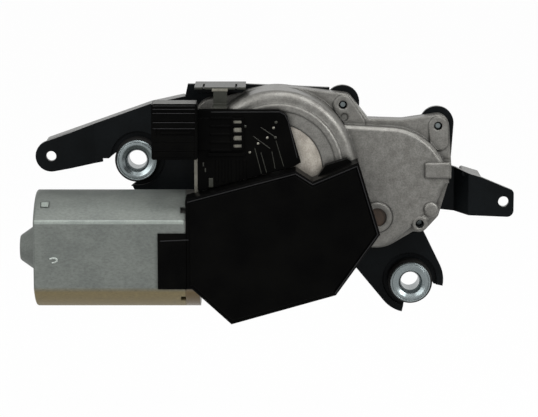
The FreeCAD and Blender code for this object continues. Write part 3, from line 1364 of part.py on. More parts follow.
COVER_OUTLINE = [(-86.2, 12.4), (-37.2, 25.2), (-29.8, 20.4), (-9.6, 29.0), (0.3, -3.5), (-19.2, -31.0),
                 (-65.9, -44.3), (-83.4, -28.3), (-86.2, -28.3)]
LATCH = [(-28.0, 20.6), (-24.0, 26.4), (-14.2, 29.4), (-11.6, 27.6)]
TONGUE_RIGHT, TONGUE_TOP, TONGUE_LOW = -86.0, -2.9, -28.2
BOARD_OUTLINE = [(-77.5, 14.7), *COVER_OUTLINE[1:7], (-77.5, -33.7)]
BOARD_POSTS = [(-68, -31), (-10, 14), (-66, 8)]
RELAY_X, RELAY_Z = (-58, -44), (-6, 10)
CHIP_X, CHIP_Z = (-62, -52), (-28, -18)
CAPACITORS = ((-30, 2), (-30, -9))


def make_electronics_cover():
    """Mould the cover: front wall, side walls, board posts and a tongue over the can's end."""
    body = new_body("ElectronicsCover")
    pad(body, FRONT, ("polygon", COVER_OUTLINE), "cover_back", "cover_front - cover_step")
    rim = -value("cover_front - cover_step")
    chamfer(body, "cover_chamfer", lambda edge: edge.BoundBox.YMax < rim + 0.01)
    raised = inset(COVER_OUTLINE, value("cover_rim"))
    pad(body, FRONT, ("polygon", raised), "cover_front - cover_wall - 0.1", "cover_front")
    front = -value("cover_front")
    chamfer(body, "cover_step / 2", lambda edge: edge.BoundBox.YMax < front + 0.01)
    tongue = [("-cover_tongue_left", TONGUE_TOP), (TONGUE_RIGHT, TONGUE_TOP), (TONGUE_RIGHT, TONGUE_LOW),
              ("-cover_tongue_left", TONGUE_LOW)]
    pad(body, FRONT, ("polygon", tongue), "cover_front - cover_step - cover_wall", "cover_front - cover_step")
    pad(body, FRONT, ("polygon", LATCH), "cover_back", "cover_back + 5")
    inner = inset(COVER_OUTLINE, value("cover_wall"))
    inside = "cover_front - cover_step - cover_wall"
    pocket(body, FRONT, ("polygon", inner), "cover_back", inside)
    pocket(body, SIDE, ("flatted", *CAN_SECTION, "can_radius + seat_clearance", "can_flat + 0.2"),
           "-cover_tongue_left - 1", "-can_right + motor_flange_width + seat_clearance")
    for x, z in BOARD_POSTS:
        pad(body, FRONT, ("circle", x, z, "cover_post_radius"), "board_front", inside)
    keep("electronics_cover", body)


def make_electronics():
    """Make the circuit board with its relay, capacitors and controller."""
    board = new_body("CircuitBoard")
    outline = inset(BOARD_OUTLINE, value("cover_wall + board_margin"))
    pad(board, FRONT, ("polygon", outline), "board_depth", "board_front")
    keep("circuit_board", board)
    relay = block("Relay", RELAY_X, ("-board_front - relay_height", "-board_front"), RELAY_Z)
    keep("relay", relay)
    cans = []
    for x, z in CAPACITORS:
        can = new_body(f"Capacitor{len(cans)}")
        pad(can, FRONT, ("circle", x, z, "capacitor_radius"), "board_front", "board_front + capacitor_height")
        cans.append(can)
    group("capacitors", cans)
    chip = block("Controller", CHIP_X, ("-board_front - controller_height", "-board_front"), CHIP_Z)
    keep("motor_controller", chip)


def bar_outline(left, right, middle, width):
    """Return the outline of a bar that runs along X between two ends."""
    low, high = f"{middle} - ({width}) / 2", f"{middle} + ({width}) / 2"
    return [(left, low), (right, low), (right, high), (left, high)]


def make_carrier():
    """Mould the carrier plate with its ribs, and lay the lead frame and pads on it."""
    body = new_body("CarrierPlate")
    left = "-connector_right"
    outline = [(left, 51.2), (-44.7, 51.2), (-41.1, 48.5), (-34.9, 27.6), (-38.2, 25.6), (left, 14.5)]
    pad(body, FRONT, ("polygon", outline), "cover_back", "carrier_front")
    rib_count = 5
    levels = [f"pad_top - {index} * pad_pitch" for index in range(rib_count - 1)]
    strip_cover = bar_outline(left, "-strip_cover_right", "pad_top - pad_pitch * 1.5", "pad_pitch * 4")
    pad(body, FRONT, ("polygon", strip_cover), "carrier_front", "carrier_front + strip_cover_thickness")
    for level in levels:
        pocket(body, FRONT, ("polygon", bar_outline(left, "-strip_cover_right", level, "strip_width")),
               "carrier_front", "carrier_front + strip_thickness")
    for index in range(rib_count):
        middle = f"pad_top + pad_pitch / 2 - {index} * pad_pitch"
        rib = bar_outline("-rib_left", "-rib_right", middle, "rib_width")
        pad(body, FRONT, ("polygon", rib), "carrier_front", "carrier_front + rib_height")
    keep("carrier_plate", body)
    strips, pads = [], []
    pad_back = "-carrier_front - strip_thickness"
    for index, z in enumerate(levels):
        strips.append(block(f"LeadStrip{index}", (left, "-pad_right"), (pad_back, "-carrier_front"),
                            (f"{z} - strip_width / 2", f"{z} + strip_width / 2")))
        pads.append(block(f"ContactPad{index}", ("-pad_right - pad_width", "-pad_right"),
                          (f"{pad_back} - pad_thickness", pad_back),
                          (f"{z} - pad_height / 2", f"{z} + pad_height / 2")))
    group("lead_frame", strips)
    group("contact_pads", pads)


CONNECTOR_GROOVES = (51.2, 47.0)


def make_connector():
    """Mould the connector: a box whose socket opens to the left, with blade terminals inside."""
    body = new_body("ConnectorHousing")
    left, right = "-connector_left", "-connector_right"
    face = [(left, "connector_bottom"), (right, "connector_bottom"), (right, "connector_top"),
            (left, "connector_top")]
    pad(body, FRONT, ("polygon", face), "connector_back", "connector_front")
    chamfer(body, "connector_chamfer", lambda edge: edge.BoundBox.YLength > 1)
    low, high = "connector_bottom + connector_wall", "connector_top - connector_wall"
    floor = f"{right} - connector_floor"
    socket = [(left, low), (floor, low), (floor, high), (left, high)]
    pocket(body, FRONT, ("polygon", socket),
           "connector_back + connector_wall", "connector_front - connector_wall")
    for z in CONNECTOR_GROOVES:
        pocket(body, FRONT, ("polygon", bar_outline(left, right, z, "connector_groove_half * 2")),
               "connector_front - connector_groove_depth", "connector_front")
    window = [("-connector_window_left", "connector_window_bottom"),
              ("-connector_window_right", "connector_window_bottom"),
              ("-connector_window_right", "connector_window_top"),
              ("-connector_window_left", "connector_window_top")]
    pocket(body, FRONT, ("polygon", window), "connector_front - connector_window_depth", "connector_front")
    keep("connector_housing", body)
    pins = []
    for index in range(int(value("terminal_count"))):
        z = f"(connector_bottom + connector_top) / 2 + ({index} - (terminal_count - 1) / 2) * pad_pitch"
        y = "-(connector_back + connector_front) / 2"
        half = "terminal_size / 2"
        pins.append(block(f"Terminal{index}", (f"{floor} - terminal_length", floor),
                          (f"{y} - {half}", f"{y} + {half}"), (f"{z} - {half}", f"{z} + {half}")))
    group("connector_terminals", pins)


def make_ground_strap():
    """Bend the earth strap from the connector's foot down to the motor flange."""
    left = "-ground_strap_left"
    right = "-ground_strap_left + ground_strap_width"
    front = "-ground_strap_front"
    back = f"{front} + ground_strap_thickness"
    upright = block("StrapUpright", (left, right), (front, back), ("ground_strap_foot", "connector_bottom"))
    tab = block("StrapTab", (left, right), ("-connector_back - 3", back),
                ("connector_bottom - ground_strap_thickness", "connector_bottom"))
    keep("ground_strap", fuse("StrapJoined", [upright, tab]))


make_motor_can()
make_magnets()
make_armature()
make_worm()
make_can_bearings()
make_brush_gear()
make_gear_housing()
make_gearbox_gasket()
make_worm_wheel()
make_linkage()
make_wheel_axle()
make_tunnel_bearings()
make_output_shaft()
make_bearing_tube()
make_mounting_bracket()
make_carrier_clip()
make_grommets()
make_bracket_screws()
make_electronics_cover()
make_electronics()
make_carrier()
make_connector()
make_ground_strap()
doc.recompute()

for item in doc.Objects:
    if "Invalid" in item.State or "Error" in item.State:
        raise RuntimeError(f"{item.Name} did not rebuild: {item.State}")
for label, item in PARTS.items():
    if item.Shape.isNull() or not item.Shape.isValid():
        raise RuntimeError(f"{label} has no valid shape")
for label, item in PARTS.items():
    item.Shape.exportStep(f"parts/{label}.step")
    box = item.Shape.BoundBox
    print(f"{label:24s} solids {len(item.Shape.Solids)} volume {item.Shape.Volume:10.1f} "
          f"X {box.XMin:7.1f} {box.XMax:7.1f} Y {box.YMin:6.1f} {box.YMax:6.1f} "
          f"Z {box.ZMin:6.1f} {box.ZMax:6.1f}")
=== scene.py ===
"""Finishes, small raised details, studio and camera for a rear wiper motor.

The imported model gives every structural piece. This script dresses each of them with the finish of the real
one, adds the fine moulded, cast and soldered details that sit on them, and sets the motor in a plain white
studio. All sizes are in millimetres and are turned into metres as each mesh is built. The front of the motor
looks along -Y, so a face's depth is how far it lies in front of the origin.
"""
import json
import logging
import math
from dataclasses import dataclass
from enum import Enum
from typing import Any, Dict, List, Optional, Sequence, Tuple

import bmesh
import bpy
from mathutils import Matrix, Vector


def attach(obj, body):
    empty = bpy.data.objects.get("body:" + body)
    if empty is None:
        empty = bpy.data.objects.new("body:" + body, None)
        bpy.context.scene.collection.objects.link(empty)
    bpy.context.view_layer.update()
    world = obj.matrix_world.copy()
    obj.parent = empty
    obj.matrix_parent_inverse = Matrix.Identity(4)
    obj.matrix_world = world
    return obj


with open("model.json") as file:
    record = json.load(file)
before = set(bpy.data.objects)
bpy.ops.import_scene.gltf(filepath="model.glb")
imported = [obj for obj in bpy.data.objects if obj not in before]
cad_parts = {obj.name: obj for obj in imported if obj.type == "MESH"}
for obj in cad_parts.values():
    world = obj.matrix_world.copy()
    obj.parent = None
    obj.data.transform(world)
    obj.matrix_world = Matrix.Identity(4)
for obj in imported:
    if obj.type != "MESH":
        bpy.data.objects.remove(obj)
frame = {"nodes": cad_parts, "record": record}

LOG = logging.getLogger("wiper_motor")
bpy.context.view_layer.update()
MM = 0.001
Span = Tuple[float, float]
Point = Tuple[float, float]
Line = Tuple[Point, ...]
Place = Tuple[float, float, float]

# Noise: the span that nearly all of its values lie in, and how fine it is broken up
NOISE_SPAN: Span = (0.3, 0.7)
GRAIN_DETAIL, GRAIN_ROUGHNESS = 4.0, 0.6
PATCH_DETAIL, PATCH_ROUGHNESS = 5.0, 0.55
# Patches: the noise at which the second colour begins to show, and at which it is full
PATCH_SPAN: Span = (0.38, 0.66)
# Painted corner shade: how far a wall is felt, and how open a place is where the painted shade is full and
# where it ends
CORNER_SHADE_REACH_MM = 4.0
CORNER_SHADE_SPAN: Span = (0.25, 0.85)
# Painted top sheen, a pale painted highlight on what faces up: how level a surface is where it begins and
# where it is full
TOP_SHEEN_COLOUR = "8C8C89"
TOP_SHEEN_SPAN: Span = (0.8, 0.97)
TOP_SHEEN_FADE_MM = 0.1
COAT_ROUGHNESS = 0.25
EDGE_SAMPLES = 4
WHOLE: Span = (0.0, 1.0)
# The mix node's sockets when it mixes colours
MIX_FACTOR, MIX_FIRST, MIX_SECOND, MIX_RESULT = 0, 6, 7, 2
# Meshes: a rounded edge's steps and fullness, where the middle corner of a knob's edge lies, the facets of
# dots and turned pieces, and how close corners are where they join
ROUND_STEPS = 2
ROUND_PROFILE = 0.5
CORNER_CUT = 0.3
DOT_SEGMENTS, DOT_RINGS = 16, 10
TURNED_STEPS = 48
JOIN_MM = 0.002


def linear(hex_colour: str) -> Tuple[float, float, float, float]:
    """Turn an sRGB hex colour into linear light.

    Args:
        hex_colour: Six hex digits.

    Returns:
        Red, green, blue and an alpha of one.
    """
    # The curve of the sRGB standard: straight near black, a power above it
    channels = [int(hex_colour[place:place + 2], 16) / 255 for place in (0, 2, 4)]
    return tuple(c / 12.92 if c <= 0.04045 else ((c + 0.055) / 1.055) ** 2.4 for c in channels) + (1.0,)


class Lay(Enum):
    """The way a surface's grain runs, as the stretch of its pattern along X, Y and Z."""

    EVEN = (1.0, 1.0, 1.0)
    ROLLED_ALONG_X = (0.5, 1.0, 1.0)
    TURNED_ROUND_Y = (1.0, 6.0, 1.0)
    STACKED_ALONG_X = (3.0, 0.2, 0.2)


@dataclass(frozen=True)
class Tint:
    """A second colour that comes in over a span of height."""

    colour: str
    starts_mm: float
    ends_mm: float


@dataclass(frozen=True)
class Finish:
    """One real surface: what it is made of and how it was worked.

    Args:
        slot: The record's slot, or the finish's own name.
        colour: Its main colour.
        patch: The colour of its patches.
        patch_mm: The size of a patch.
        grain_mm: The size of its grain.
        metallic: How far it is bare metal.
        roughness: How dull it is.
        roughness_spread: How much the grain changes that.
        grain_contrast: How much the grain changes the colour.
        patch_amount: How far a patch covers the main colour.
        bump_mm: How high the grain stands.
        edge_mm: How far an edge looks rounded.
        specular: How strongly it mirrors where it isn't metal.
        coat: How much clear coat lies on it.
        corner_shade: How dark its corners are painted, as painted shade.
        top_sheen: How much pale painted highlight lies on what faces up.
        top_sheen_above_mm: The height over which the painted highlight lies.
        lay: The way its grain runs.
        tint: A colour that comes in over a span of height.
    """

    slot: str
    colour: str
    patch: str
    patch_mm: float
    grain_mm: float
    metallic: float
    roughness: float
    roughness_spread: float = 0.06
    grain_contrast: float = 0.08
    patch_amount: float = 0.6
    bump_mm: float = 0.02
    edge_mm: float = 0.35
    specular: float = 0.5
    coat: float = 0.0
    corner_shade: float = 0.0
    top_sheen: float = 0.0
    top_sheen_above_mm: float = -100.0
    lay: Lay = Lay.EVEN
    tint: Optional[Tint] = None

    def material(self) -> bpy.types.Material:
        """Build the node material of this finish.

        Returns:
            The material, ready to assign.
        """
        made = bpy.data.materials.new(self.slot)
        output = blank_nodes(made, "ShaderNodeOutputMaterial")
        tree = made.node_tree
        shader = add_node(tree, "ShaderNodeBsdfPrincipled", {
            "Metallic": self.metallic, "Specular IOR Level": self.specular,
            "Coat Weight": self.coat, "Coat Roughness": COAT_ROUGHNESS})
        tree.links.new(shader.outputs["BSDF"], output.inputs["Surface"])
        place = add_node(tree, "ShaderNodeTexCoord")
        stretched = add_node(tree, "ShaderNodeMapping", {"Scale": self.lay.value},
                             {"Vector": place.outputs["Object"]})
        grain = add_node(tree, "ShaderNodeTexNoise", {
            "Scale": 1 / (self.grain_mm * MM), "Detail": GRAIN_DETAIL, "Roughness": GRAIN_ROUGHNESS},
            {"Vector": stretched.outputs["Vector"]}).outputs["Fac"]
        tree.links.new(self.coloured(tree, place, grain), shader.inputs["Base Color"])
        rough = ranged(tree, grain, NOISE_SPAN, (self.roughness - self.roughness_spread,
                                                 self.roughness + self.roughness_spread))
        tree.links.new(rough, shader.inputs["Roughness"])
        edge = add_node(tree, "ShaderNodeBevel", {"Radius": self.edge_mm * MM})
        edge.samples = EDGE_SAMPLES
        bump = add_node(tree, "ShaderNodeBump", {"Strength": 1.0, "Distance": self.bump_mm * MM},
                        {"Height": grain, "Normal": edge.outputs["Normal"]})
        tree.links.new(bump.outputs["Normal"], shader.inputs["Normal"])
        return made

    def coloured(self, tree: bpy.types.NodeTree, place: bpy.types.Node, grain: Any) -> Any:
        """Lay the colours over each other: patches, tint, grain, painted corner shade and a painted highlight
        on what faces up.

        Args:
            tree: The material's nodes.
            place: The coordinates node.
            grain: The grain's socket.

        Returns:
            The colour's socket.
        """
        patches = add_node(tree, "ShaderNodeTexNoise", {
            "Scale": 1 / (self.patch_mm * MM), "Detail": PATCH_DETAIL, "Roughness": PATCH_ROUGHNESS},
            {"Vector": place.outputs["Object"]})
        spread = ranged(tree, patches.outputs["Fac"], PATCH_SPAN, (0.0, self.patch_amount))
        colour = mixed(tree, "MIX", spread, linear(self.colour), linear(self.patch))
        if self.tint:
            fade = ranged(tree, upward(tree, place.outputs["Object"]),
                          (self.tint.starts_mm * MM, self.tint.ends_mm * MM))
            colour = mixed(tree, "MIX", fade, colour, linear(self.tint.colour))
        shade = ranged(tree, grain, NOISE_SPAN, (1 - self.grain_contrast, 1 + self.grain_contrast))
        colour = mixed(tree, "MULTIPLY", 1.0, colour, shade)
        # Painted shade: darken the colour where ambient occlusion finds walls close by, in corners and
        # recesses
        if self.corner_shade:
            hollow = add_node(tree, "ShaderNodeAmbientOcclusion", {"Distance": CORNER_SHADE_REACH_MM * MM})
            dark = ranged(tree, hollow.outputs["AO"], CORNER_SHADE_SPAN, (1 - self.corner_shade, 1.0))
            colour = mixed(tree, "MULTIPLY", 1.0, colour, dark)
        # Painted highlight: pale the colour on what faces up, above a given height, for the light falling
        # from above
        if self.top_sheen:
            faces_up = ranged(tree, upward(tree, place.outputs["Normal"]), TOP_SHEEN_SPAN, (0.0, self.top_sheen))
            high = ranged(tree, upward(tree, place.outputs["Object"]),
                          ((self.top_sheen_above_mm - TOP_SHEEN_FADE_MM) * MM, self.top_sheen_above_mm * MM))
            top_sheen_share = mixed(tree, "MULTIPLY", 1.0, faces_up, high)
            colour = mixed(tree, "MIX", top_sheen_share, colour, linear(TOP_SHEEN_COLOUR))
        return colour


def blank_nodes(owner: Any, kind: str) -> bpy.types.Node:
    """Empty the nodes of a material or a world and give it a new output.

    Args:
        owner: The material or the world.
        kind: The output node's type.

    Returns:
        The output node.
    """
    owner.use_nodes = True
    owner.node_tree.nodes.clear()
    return add_node(owner.node_tree, kind)


def add_node(tree: bpy.types.NodeTree, kind: str, settings: Optional[Dict[str, Any]] = None,
             links: Optional[Dict[str, Any]] = None) -> bpy.types.Node:
    """Add a node, set its sockets and link others into it.

    Args:
        tree: The tree that takes the node.
        kind: The node's type.
        settings: Values by socket name.
        links: Sockets to link from, by socket name.

    Returns:
        The new node.
    """
    node = tree.nodes.new(kind)
    for name, content in (settings or {}).items():
        node.inputs[name].default_value = content
    for name, source in (links or {}).items():
        tree.links.new(source, node.inputs[name])
    return node


def ranged(tree: bpy.types.NodeTree, source: Any, span: Span, result: Span = WHOLE) -> Any:
    """Stretch a value from one span to another and hold it at their ends.

    Args:
        tree: The tree that takes the node.
        source: The value's socket.
        span: The values that give the first and the last result.
        result: The first and the last result.

    Returns:
        The result's socket.
    """
    node = add_node(tree, "ShaderNodeMapRange", {
        "From Min": span[0], "From Max": span[1], "To Min": result[0], "To Max": result[1]},
        {"Value": source})
    return node.outputs["Result"]


def upward(tree: bpy.types.NodeTree, vector: Any) -> Any:
    """Return the socket of a vector's part along Z.

    Args:
        tree: The tree that takes the node.
        vector: The vector's socket.

    Returns:
        The part's socket.
    """
    return add_node(tree, "ShaderNodeSeparateXYZ", links={"Vector": vector}).outputs["Z"]


def mixed(tree: bpy.types.NodeTree, blend: str, factor: Any, first: Any, second: Any) -> Any:
    """Mix two colours, each given as a value or as a socket.

    Args:
        tree: The material's nodes.
        blend: How the second colour acts on the first.
        factor: The share of the second.
        first: The first colour.
        second: The second colour.

    Returns:
        The mixed colour's socket.
    """
    node = tree.nodes.new("ShaderNodeMix")
    node.data_type = "RGBA"
    node.blend_type = blend
    for place, content in ((MIX_FACTOR, factor), (MIX_FIRST, first), (MIX_SECOND, second)):
        if isinstance(content, bpy.types.NodeSocket):
            tree.links.new(content, node.inputs[place])
        else:
            node.inputs[place].default_value = content
    return node.outputs[MIX_RESULT]


def larger(tree: bpy.types.NodeTree, first: Any, second: Any) -> Any:
    """Return the socket of the larger of two values.

    Args:
        tree: The material's nodes.
        first: The first value's socket.
        second: The second value's socket.

    Returns:
        The result's socket.
    """
    node = tree.nodes.new("ShaderNodeMath")
    node.operation = "MAXIMUM"
    tree.links.new(first, node.inputs[0])
    tree.links.new(second, node.inputs[1])
    return node.outputs[0]


def seen_rays(tree: bpy.types.NodeTree) -> Any:
    """Return a socket that is one for rays from the camera, a mirror-like surface or glass.

    Args:
        tree: The tree that takes the nodes.

    Returns:
        The socket.
    """
    ray = add_node(tree, "ShaderNodeLightPath")
    mirrored = larger(tree, ray.outputs["Is Glossy Ray"], ray.outputs["Is Transmission Ray"])
    return larger(tree, ray.outputs["Is Camera Ray"], mirrored)


FINISHES: Tuple[Finish, ...] = (
    # Drawn sheet steel, zinc-plated: dull grey-green with a fine speckle, and a painted warm reflection on
    # its lower side.
    # The speckle is drawn at 0.7 mm, coarser than the real grain, so that it shows
    Finish("zinc_steel", "656965", "595D5A", patch_mm=12.0, grain_mm=0.7, metallic=0.6, roughness=0.56,
           grain_contrast=0.2, bump_mm=0.01, edge_mm=0.9, lay=Lay.ROLLED_ALONG_X,
           tint=Tint("74694B", -27.5, -30.0)),
    # Pale, satin zinc, for the rim of the punched tongue
    Finish("pale_zinc", "B2B9B3", "9BA19D", patch_mm=5.0, grain_mm=0.4, metallic=0.25, roughness=0.45,
           grain_contrast=0.12, bump_mm=0.01, edge_mm=0.4),
    # The rolled crease along the can and the dimple's floor: the same zinc, painted a little paler as a
    # painted highlight
    Finish("crease_highlight_zinc", "8B928C", "7B817D", patch_mm=7.0, grain_mm=0.5, metallic=0.4, roughness=0.45,
           grain_contrast=0.15, patch_amount=0.8, bump_mm=0.01, edge_mm=0.8),
    # Pressure die-cast aluminium, as cast: warm grey, satin, with flow marks, painted shade in its corners
    # and a brown foot
    Finish("die_cast_aluminium", "706F6B", "53514D", patch_mm=4.0, grain_mm=0.6, metallic=0.7,
           roughness=0.38, roughness_spread=0.1, grain_contrast=0.26, patch_amount=0.5, bump_mm=0.05,
           edge_mm=1.3, corner_shade=0.85, tint=Tint("58492E", -26.0, -30.0)),
    # The dome's centre, rubbed clean: paler and warmer than the casting round it
    Finish("rubbed_cast", "ABA59B", "8A847B", patch_mm=5.0, grain_mm=0.6, metallic=0.6, roughness=0.4,
           grain_contrast=0.25, patch_amount=0.9, bump_mm=0.03, edge_mm=0.3, corner_shade=0.5),
    # The shaft bore's oily end: dark brown, dull
    Finish("stained_bore", "35271A", "241C15", patch_mm=2.0, grain_mm=0.3, metallic=0.2, roughness=0.5,
           grain_contrast=0.25, bump_mm=0.01, edge_mm=0.2),
    # Glass-filled moulding: near black, satin, with faint rubbed patches, and a pale painted highlight on
    # what faces up along its topmost edges
    Finish("black_plastic", "030303", "080807", patch_mm=14.0, grain_mm=0.5, metallic=0.0, roughness=0.36,
           grain_contrast=0.2, bump_mm=0.01, edge_mm=0.5, specular=0.02, top_sheen=0.4, top_sheen_above_mm=54.9),
    # Dip-coated black steel: slightly blue, satin, orange-peel skin, with a pale painted highlight on what
    # faces up
    Finish("black_paint", "0A0C0D", "101315", patch_mm=16.0, grain_mm=1.2, metallic=0.0, roughness=0.32,
           grain_contrast=0.1, edge_mm=0.6, specular=0.05, top_sheen=0.6),
    # Moulded rubber: matt black, a little dusty
    Finish("rubber", "080808", "12110F", patch_mm=5.0, grain_mm=0.4, metallic=0.0, roughness=0.7,
           grain_contrast=0.15, edge_mm=0.4, specular=0.1),
    # Bright zinc plate on turned steel: bluish, satin, with painted shade in its corners
    Finish("sleeve_zinc", "7E8687", "6C7475", patch_mm=4.0, grain_mm=0.3, metallic=0.9, roughness=0.26,
           roughness_spread=0.03, grain_contrast=0.05, bump_mm=0.002, edge_mm=0.3, corner_shade=0.4),
    # Ground steel: smooth and bright, with fine rings
    Finish("bright_steel", "A8A8A6", "949492", patch_mm=6.0, grain_mm=0.3, metallic=1.0, roughness=0.24,
           grain_contrast=0.06, bump_mm=0.004, edge_mm=0.3, lay=Lay.TURNED_ROUND_Y),
    # Phosphated pressed steel: dark grey and dull
    Finish("link_steel", "6E7070", "5A5C5C", patch_mm=6.0, grain_mm=0.5, metallic=0.85, roughness=0.5,
           grain_contrast=0.14, bump_mm=0.015, edge_mm=0.4, corner_shade=0.3),
    # Oiled spring steel: almost black with an olive cast
    Finish("clip_steel", "2A2B26", "35362F", patch_mm=5.0, grain_mm=0.6, metallic=0.6, roughness=0.36,
           grain_contrast=0.12, bump_mm=0.01, edge_mm=0.4),
    # Sintered bronze: brown-gold and porous
    Finish("bronze", "7A5632", "5C4024", patch_mm=3.0, grain_mm=0.3, metallic=0.7, roughness=0.45,
           grain_contrast=0.2, edge_mm=0.2),
    # Natural acetal gear: ivory, a little waxy
    Finish("gear_plastic", "DAD5C4", "CFC9B6", patch_mm=8.0, grain_mm=0.6, metallic=0.0, roughness=0.38,
           grain_contrast=0.04, bump_mm=0.006, edge_mm=0.2),
    # Sintered ferrite: charcoal with a fine grit
    Finish("ferrite", "34343A", "2A2A2F", patch_mm=6.0, grain_mm=0.4, metallic=0.1, roughness=0.55,
           grain_contrast=0.15, edge_mm=0.3),
    # Stacked and varnished laminations: fine lines across the stack
    Finish("laminations", "55565A", "47484B", patch_mm=5.0, grain_mm=0.5, metallic=0.7, roughness=0.45,
           grain_contrast=0.25, bump_mm=0.03, edge_mm=0.2, lay=Lay.STACKED_ALONG_X),
    # Enamelled copper wire and bars: warm red-brown
    Finish("copper", "A3542C", "8C4422", patch_mm=4.0, grain_mm=0.4, metallic=0.9, roughness=0.34,
           grain_contrast=0.2, bump_mm=0.03, edge_mm=0.2),
    # Pressed brass: yellow and satin
    Finish("brass", "B08D4A", "997A3F", patch_mm=5.0, grain_mm=0.4, metallic=0.95, roughness=0.32,
           bump_mm=0.008, edge_mm=0.2),
    # Copper-graphite brush: soot black with a soft gloss
    Finish("carbon", "1F1E1E", "2A2827", patch_mm=3.0, grain_mm=0.3, metallic=0.2, roughness=0.5,
           grain_contrast=0.15, bump_mm=0.01, edge_mm=0.2),
    # Tinned copper sheet: pale and satin, slightly clouded
    Finish("tinned", "78766D", "5B5A52", patch_mm=2.5, grain_mm=0.4, metallic=0.75, roughness=0.36,
           grain_contrast=0.12, bump_mm=0.01, edge_mm=0.2),
    # Solder mask over copper: deep green and glossy
    Finish("board", "16402A", "123524", patch_mm=8.0, grain_mm=0.8, metallic=0.0, roughness=0.3,
           bump_mm=0.01, edge_mm=0.2, coat=0.3),
    # Moulded component bodies: charcoal, matt
    Finish("component_black", "0F0F10", "161617", patch_mm=4.0, grain_mm=0.4, metallic=0.0, roughness=0.5,
           grain_contrast=0.1, bump_mm=0.01, edge_mm=0.3, specular=0.2),
    # Shrink sleeve over a can: dark and glossy
    Finish("capacitor_sleeve", "1E2030", "262838", patch_mm=4.0, grain_mm=0.5, metallic=0.0,
           roughness=0.22, grain_contrast=0.06, bump_mm=0.004, edge_mm=0.3),
)


def make_object(shape: bmesh.types.BMesh, name: str, material: bpy.types.Material) -> bpy.types.Object:
    """Turn a finished shape into an object of one material.

    Args:
        shape: The shape in metres; it is freed.
        name: The object's name.
        material: Its material.

    Returns:
        The object, in the scene.
    """
    bmesh.ops.recalc_face_normals(shape, faces=shape.faces)
    mesh = bpy.data.meshes.new(name)
    shape.to_mesh(mesh)
    shape.free()
    made = bpy.data.objects.new(name, mesh)
    bpy.context.scene.collection.objects.link(made)
    mesh.materials.append(material)
    return made


class Wardrobe:
    """The finished materials, by the names of their finishes."""

    def __init__(self) -> None:
        """Build every finish once."""
        self.materials: Dict[str, bpy.types.Material] = {item.slot: item.material() for item in FINISHES}

    def dress_nodes(self) -> None:
        """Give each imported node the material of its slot."""
        for entry in frame["record"]["subparts"]:
            node = frame["nodes"][entry["node"]]
            for slot in node.material_slots:
                slot.material = self.materials[entry["material_slot"]]
            LOG.info("dressed %s as %s", entry["node"], entry["material_slot"])

    def place(self, shape: bmesh.types.BMesh, name: str, slot: str, body: str) -> None:
        """Turn a finished shape into a piece that rides on a body.

        Args:
            shape: The shape in metres; it is freed.
            name: The piece's name.
            slot: The finish it takes.
            body: The body it moves with.
        """
        piece = make_object(shape, name, self.materials[slot])
        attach(piece, body)
        LOG.info("made %s with %d faces", name, len(piece.data.polygons))


@dataclass(frozen=True)
class Section:
    """A rib's cross-section, measured from the face that it stands on.

    Args:
        width: The rib's width.
        sunk: How deep its foot lies behind the face.
        proud: How far its crest stands in front of the face.
        round_mm: How far its edges are rounded.
    """

    width: float
    sunk: float
    proud: float
    round_mm: float = 0.12


def round_edges(shape: bmesh.types.BMesh, corners: Sequence[bmesh.types.BMVert], width_mm: float) -> None:
    """Round every edge that meets the given corners.

    Args:
        shape: The shape that they belong to.
        corners: The corners.
        width_mm: How far the edges are rounded.
    """
    edges = list(dict.fromkeys(edge for corner in corners for edge in corner.link_edges))
    bmesh.ops.bevel(shape, geom=edges, offset=width_mm * MM, offset_type="OFFSET", affect="EDGES",
                    segments=ROUND_STEPS, profile=ROUND_PROFILE, material=-1, clamp_overlap=True)


def add_bar(shape: bmesh.types.BMesh, start: Point, end: Point, face: float, section: Section) -> None:
    """Add a straight rib that stands on a face which looks towards the front.

    Args:
        shape: The shape that takes the rib.
        start: X and Z of one end.
        end: X and Z of the other end.
        face: The face's depth.
        section: The rib's cross-section.
    """
    run = Vector((end[0] - start[0], 0, end[1] - start[1]))
    turn = Matrix.Rotation(-math.atan2(run.z, run.x), 4, "Y")
    depth = face + (section.proud - section.sunk) / 2
    middle = Vector(((start[0] + end[0]) / 2, -depth, (start[1] + end[1]) / 2))
    size = Matrix.Diagonal(((run.length + section.width) * MM, (section.proud + section.sunk) * MM,
                            section.width * MM, 1.0))
    made = bmesh.ops.create_cube(shape, size=1.0, matrix=Matrix.Translation(middle * MM) @ turn @ size)
    round_edges(shape, made["verts"], section.round_mm)


def add_line(shape: bmesh.types.BMesh, points: Line, face: float, section: Section) -> None:
    """Add a rib from each point to the next.

    Args:
        shape: The shape that takes the ribs.
        points: X and Z of each point.
        face: The face's depth.
        section: The ribs' cross-section.
    """
    for start, end in zip(points, points[1:]):
        add_bar(shape, start, end, face, section)


def add_dot(shape: bmesh.types.BMesh, spot: Point, face: float, radius: float, height: float) -> None:
    """Add a low round blob, such as a solder joint or a pin's end, on a front-facing face.

    Args:
        shape: The shape that takes the blob.
        spot: X and Z of its middle.
        face: The face's depth.
        radius: Its radius.
        height: How far it stands out.
    """
    size = Matrix.Diagonal((radius * MM, height * MM, radius * MM, 1.0))
    place = Matrix.Translation(Vector((spot[0], -face, spot[1])) * MM)
    bmesh.ops.create_uvsphere(shape, u_segments=DOT_SEGMENTS, v_segments=DOT_RINGS, radius=1.0,
                              matrix=place @ size)


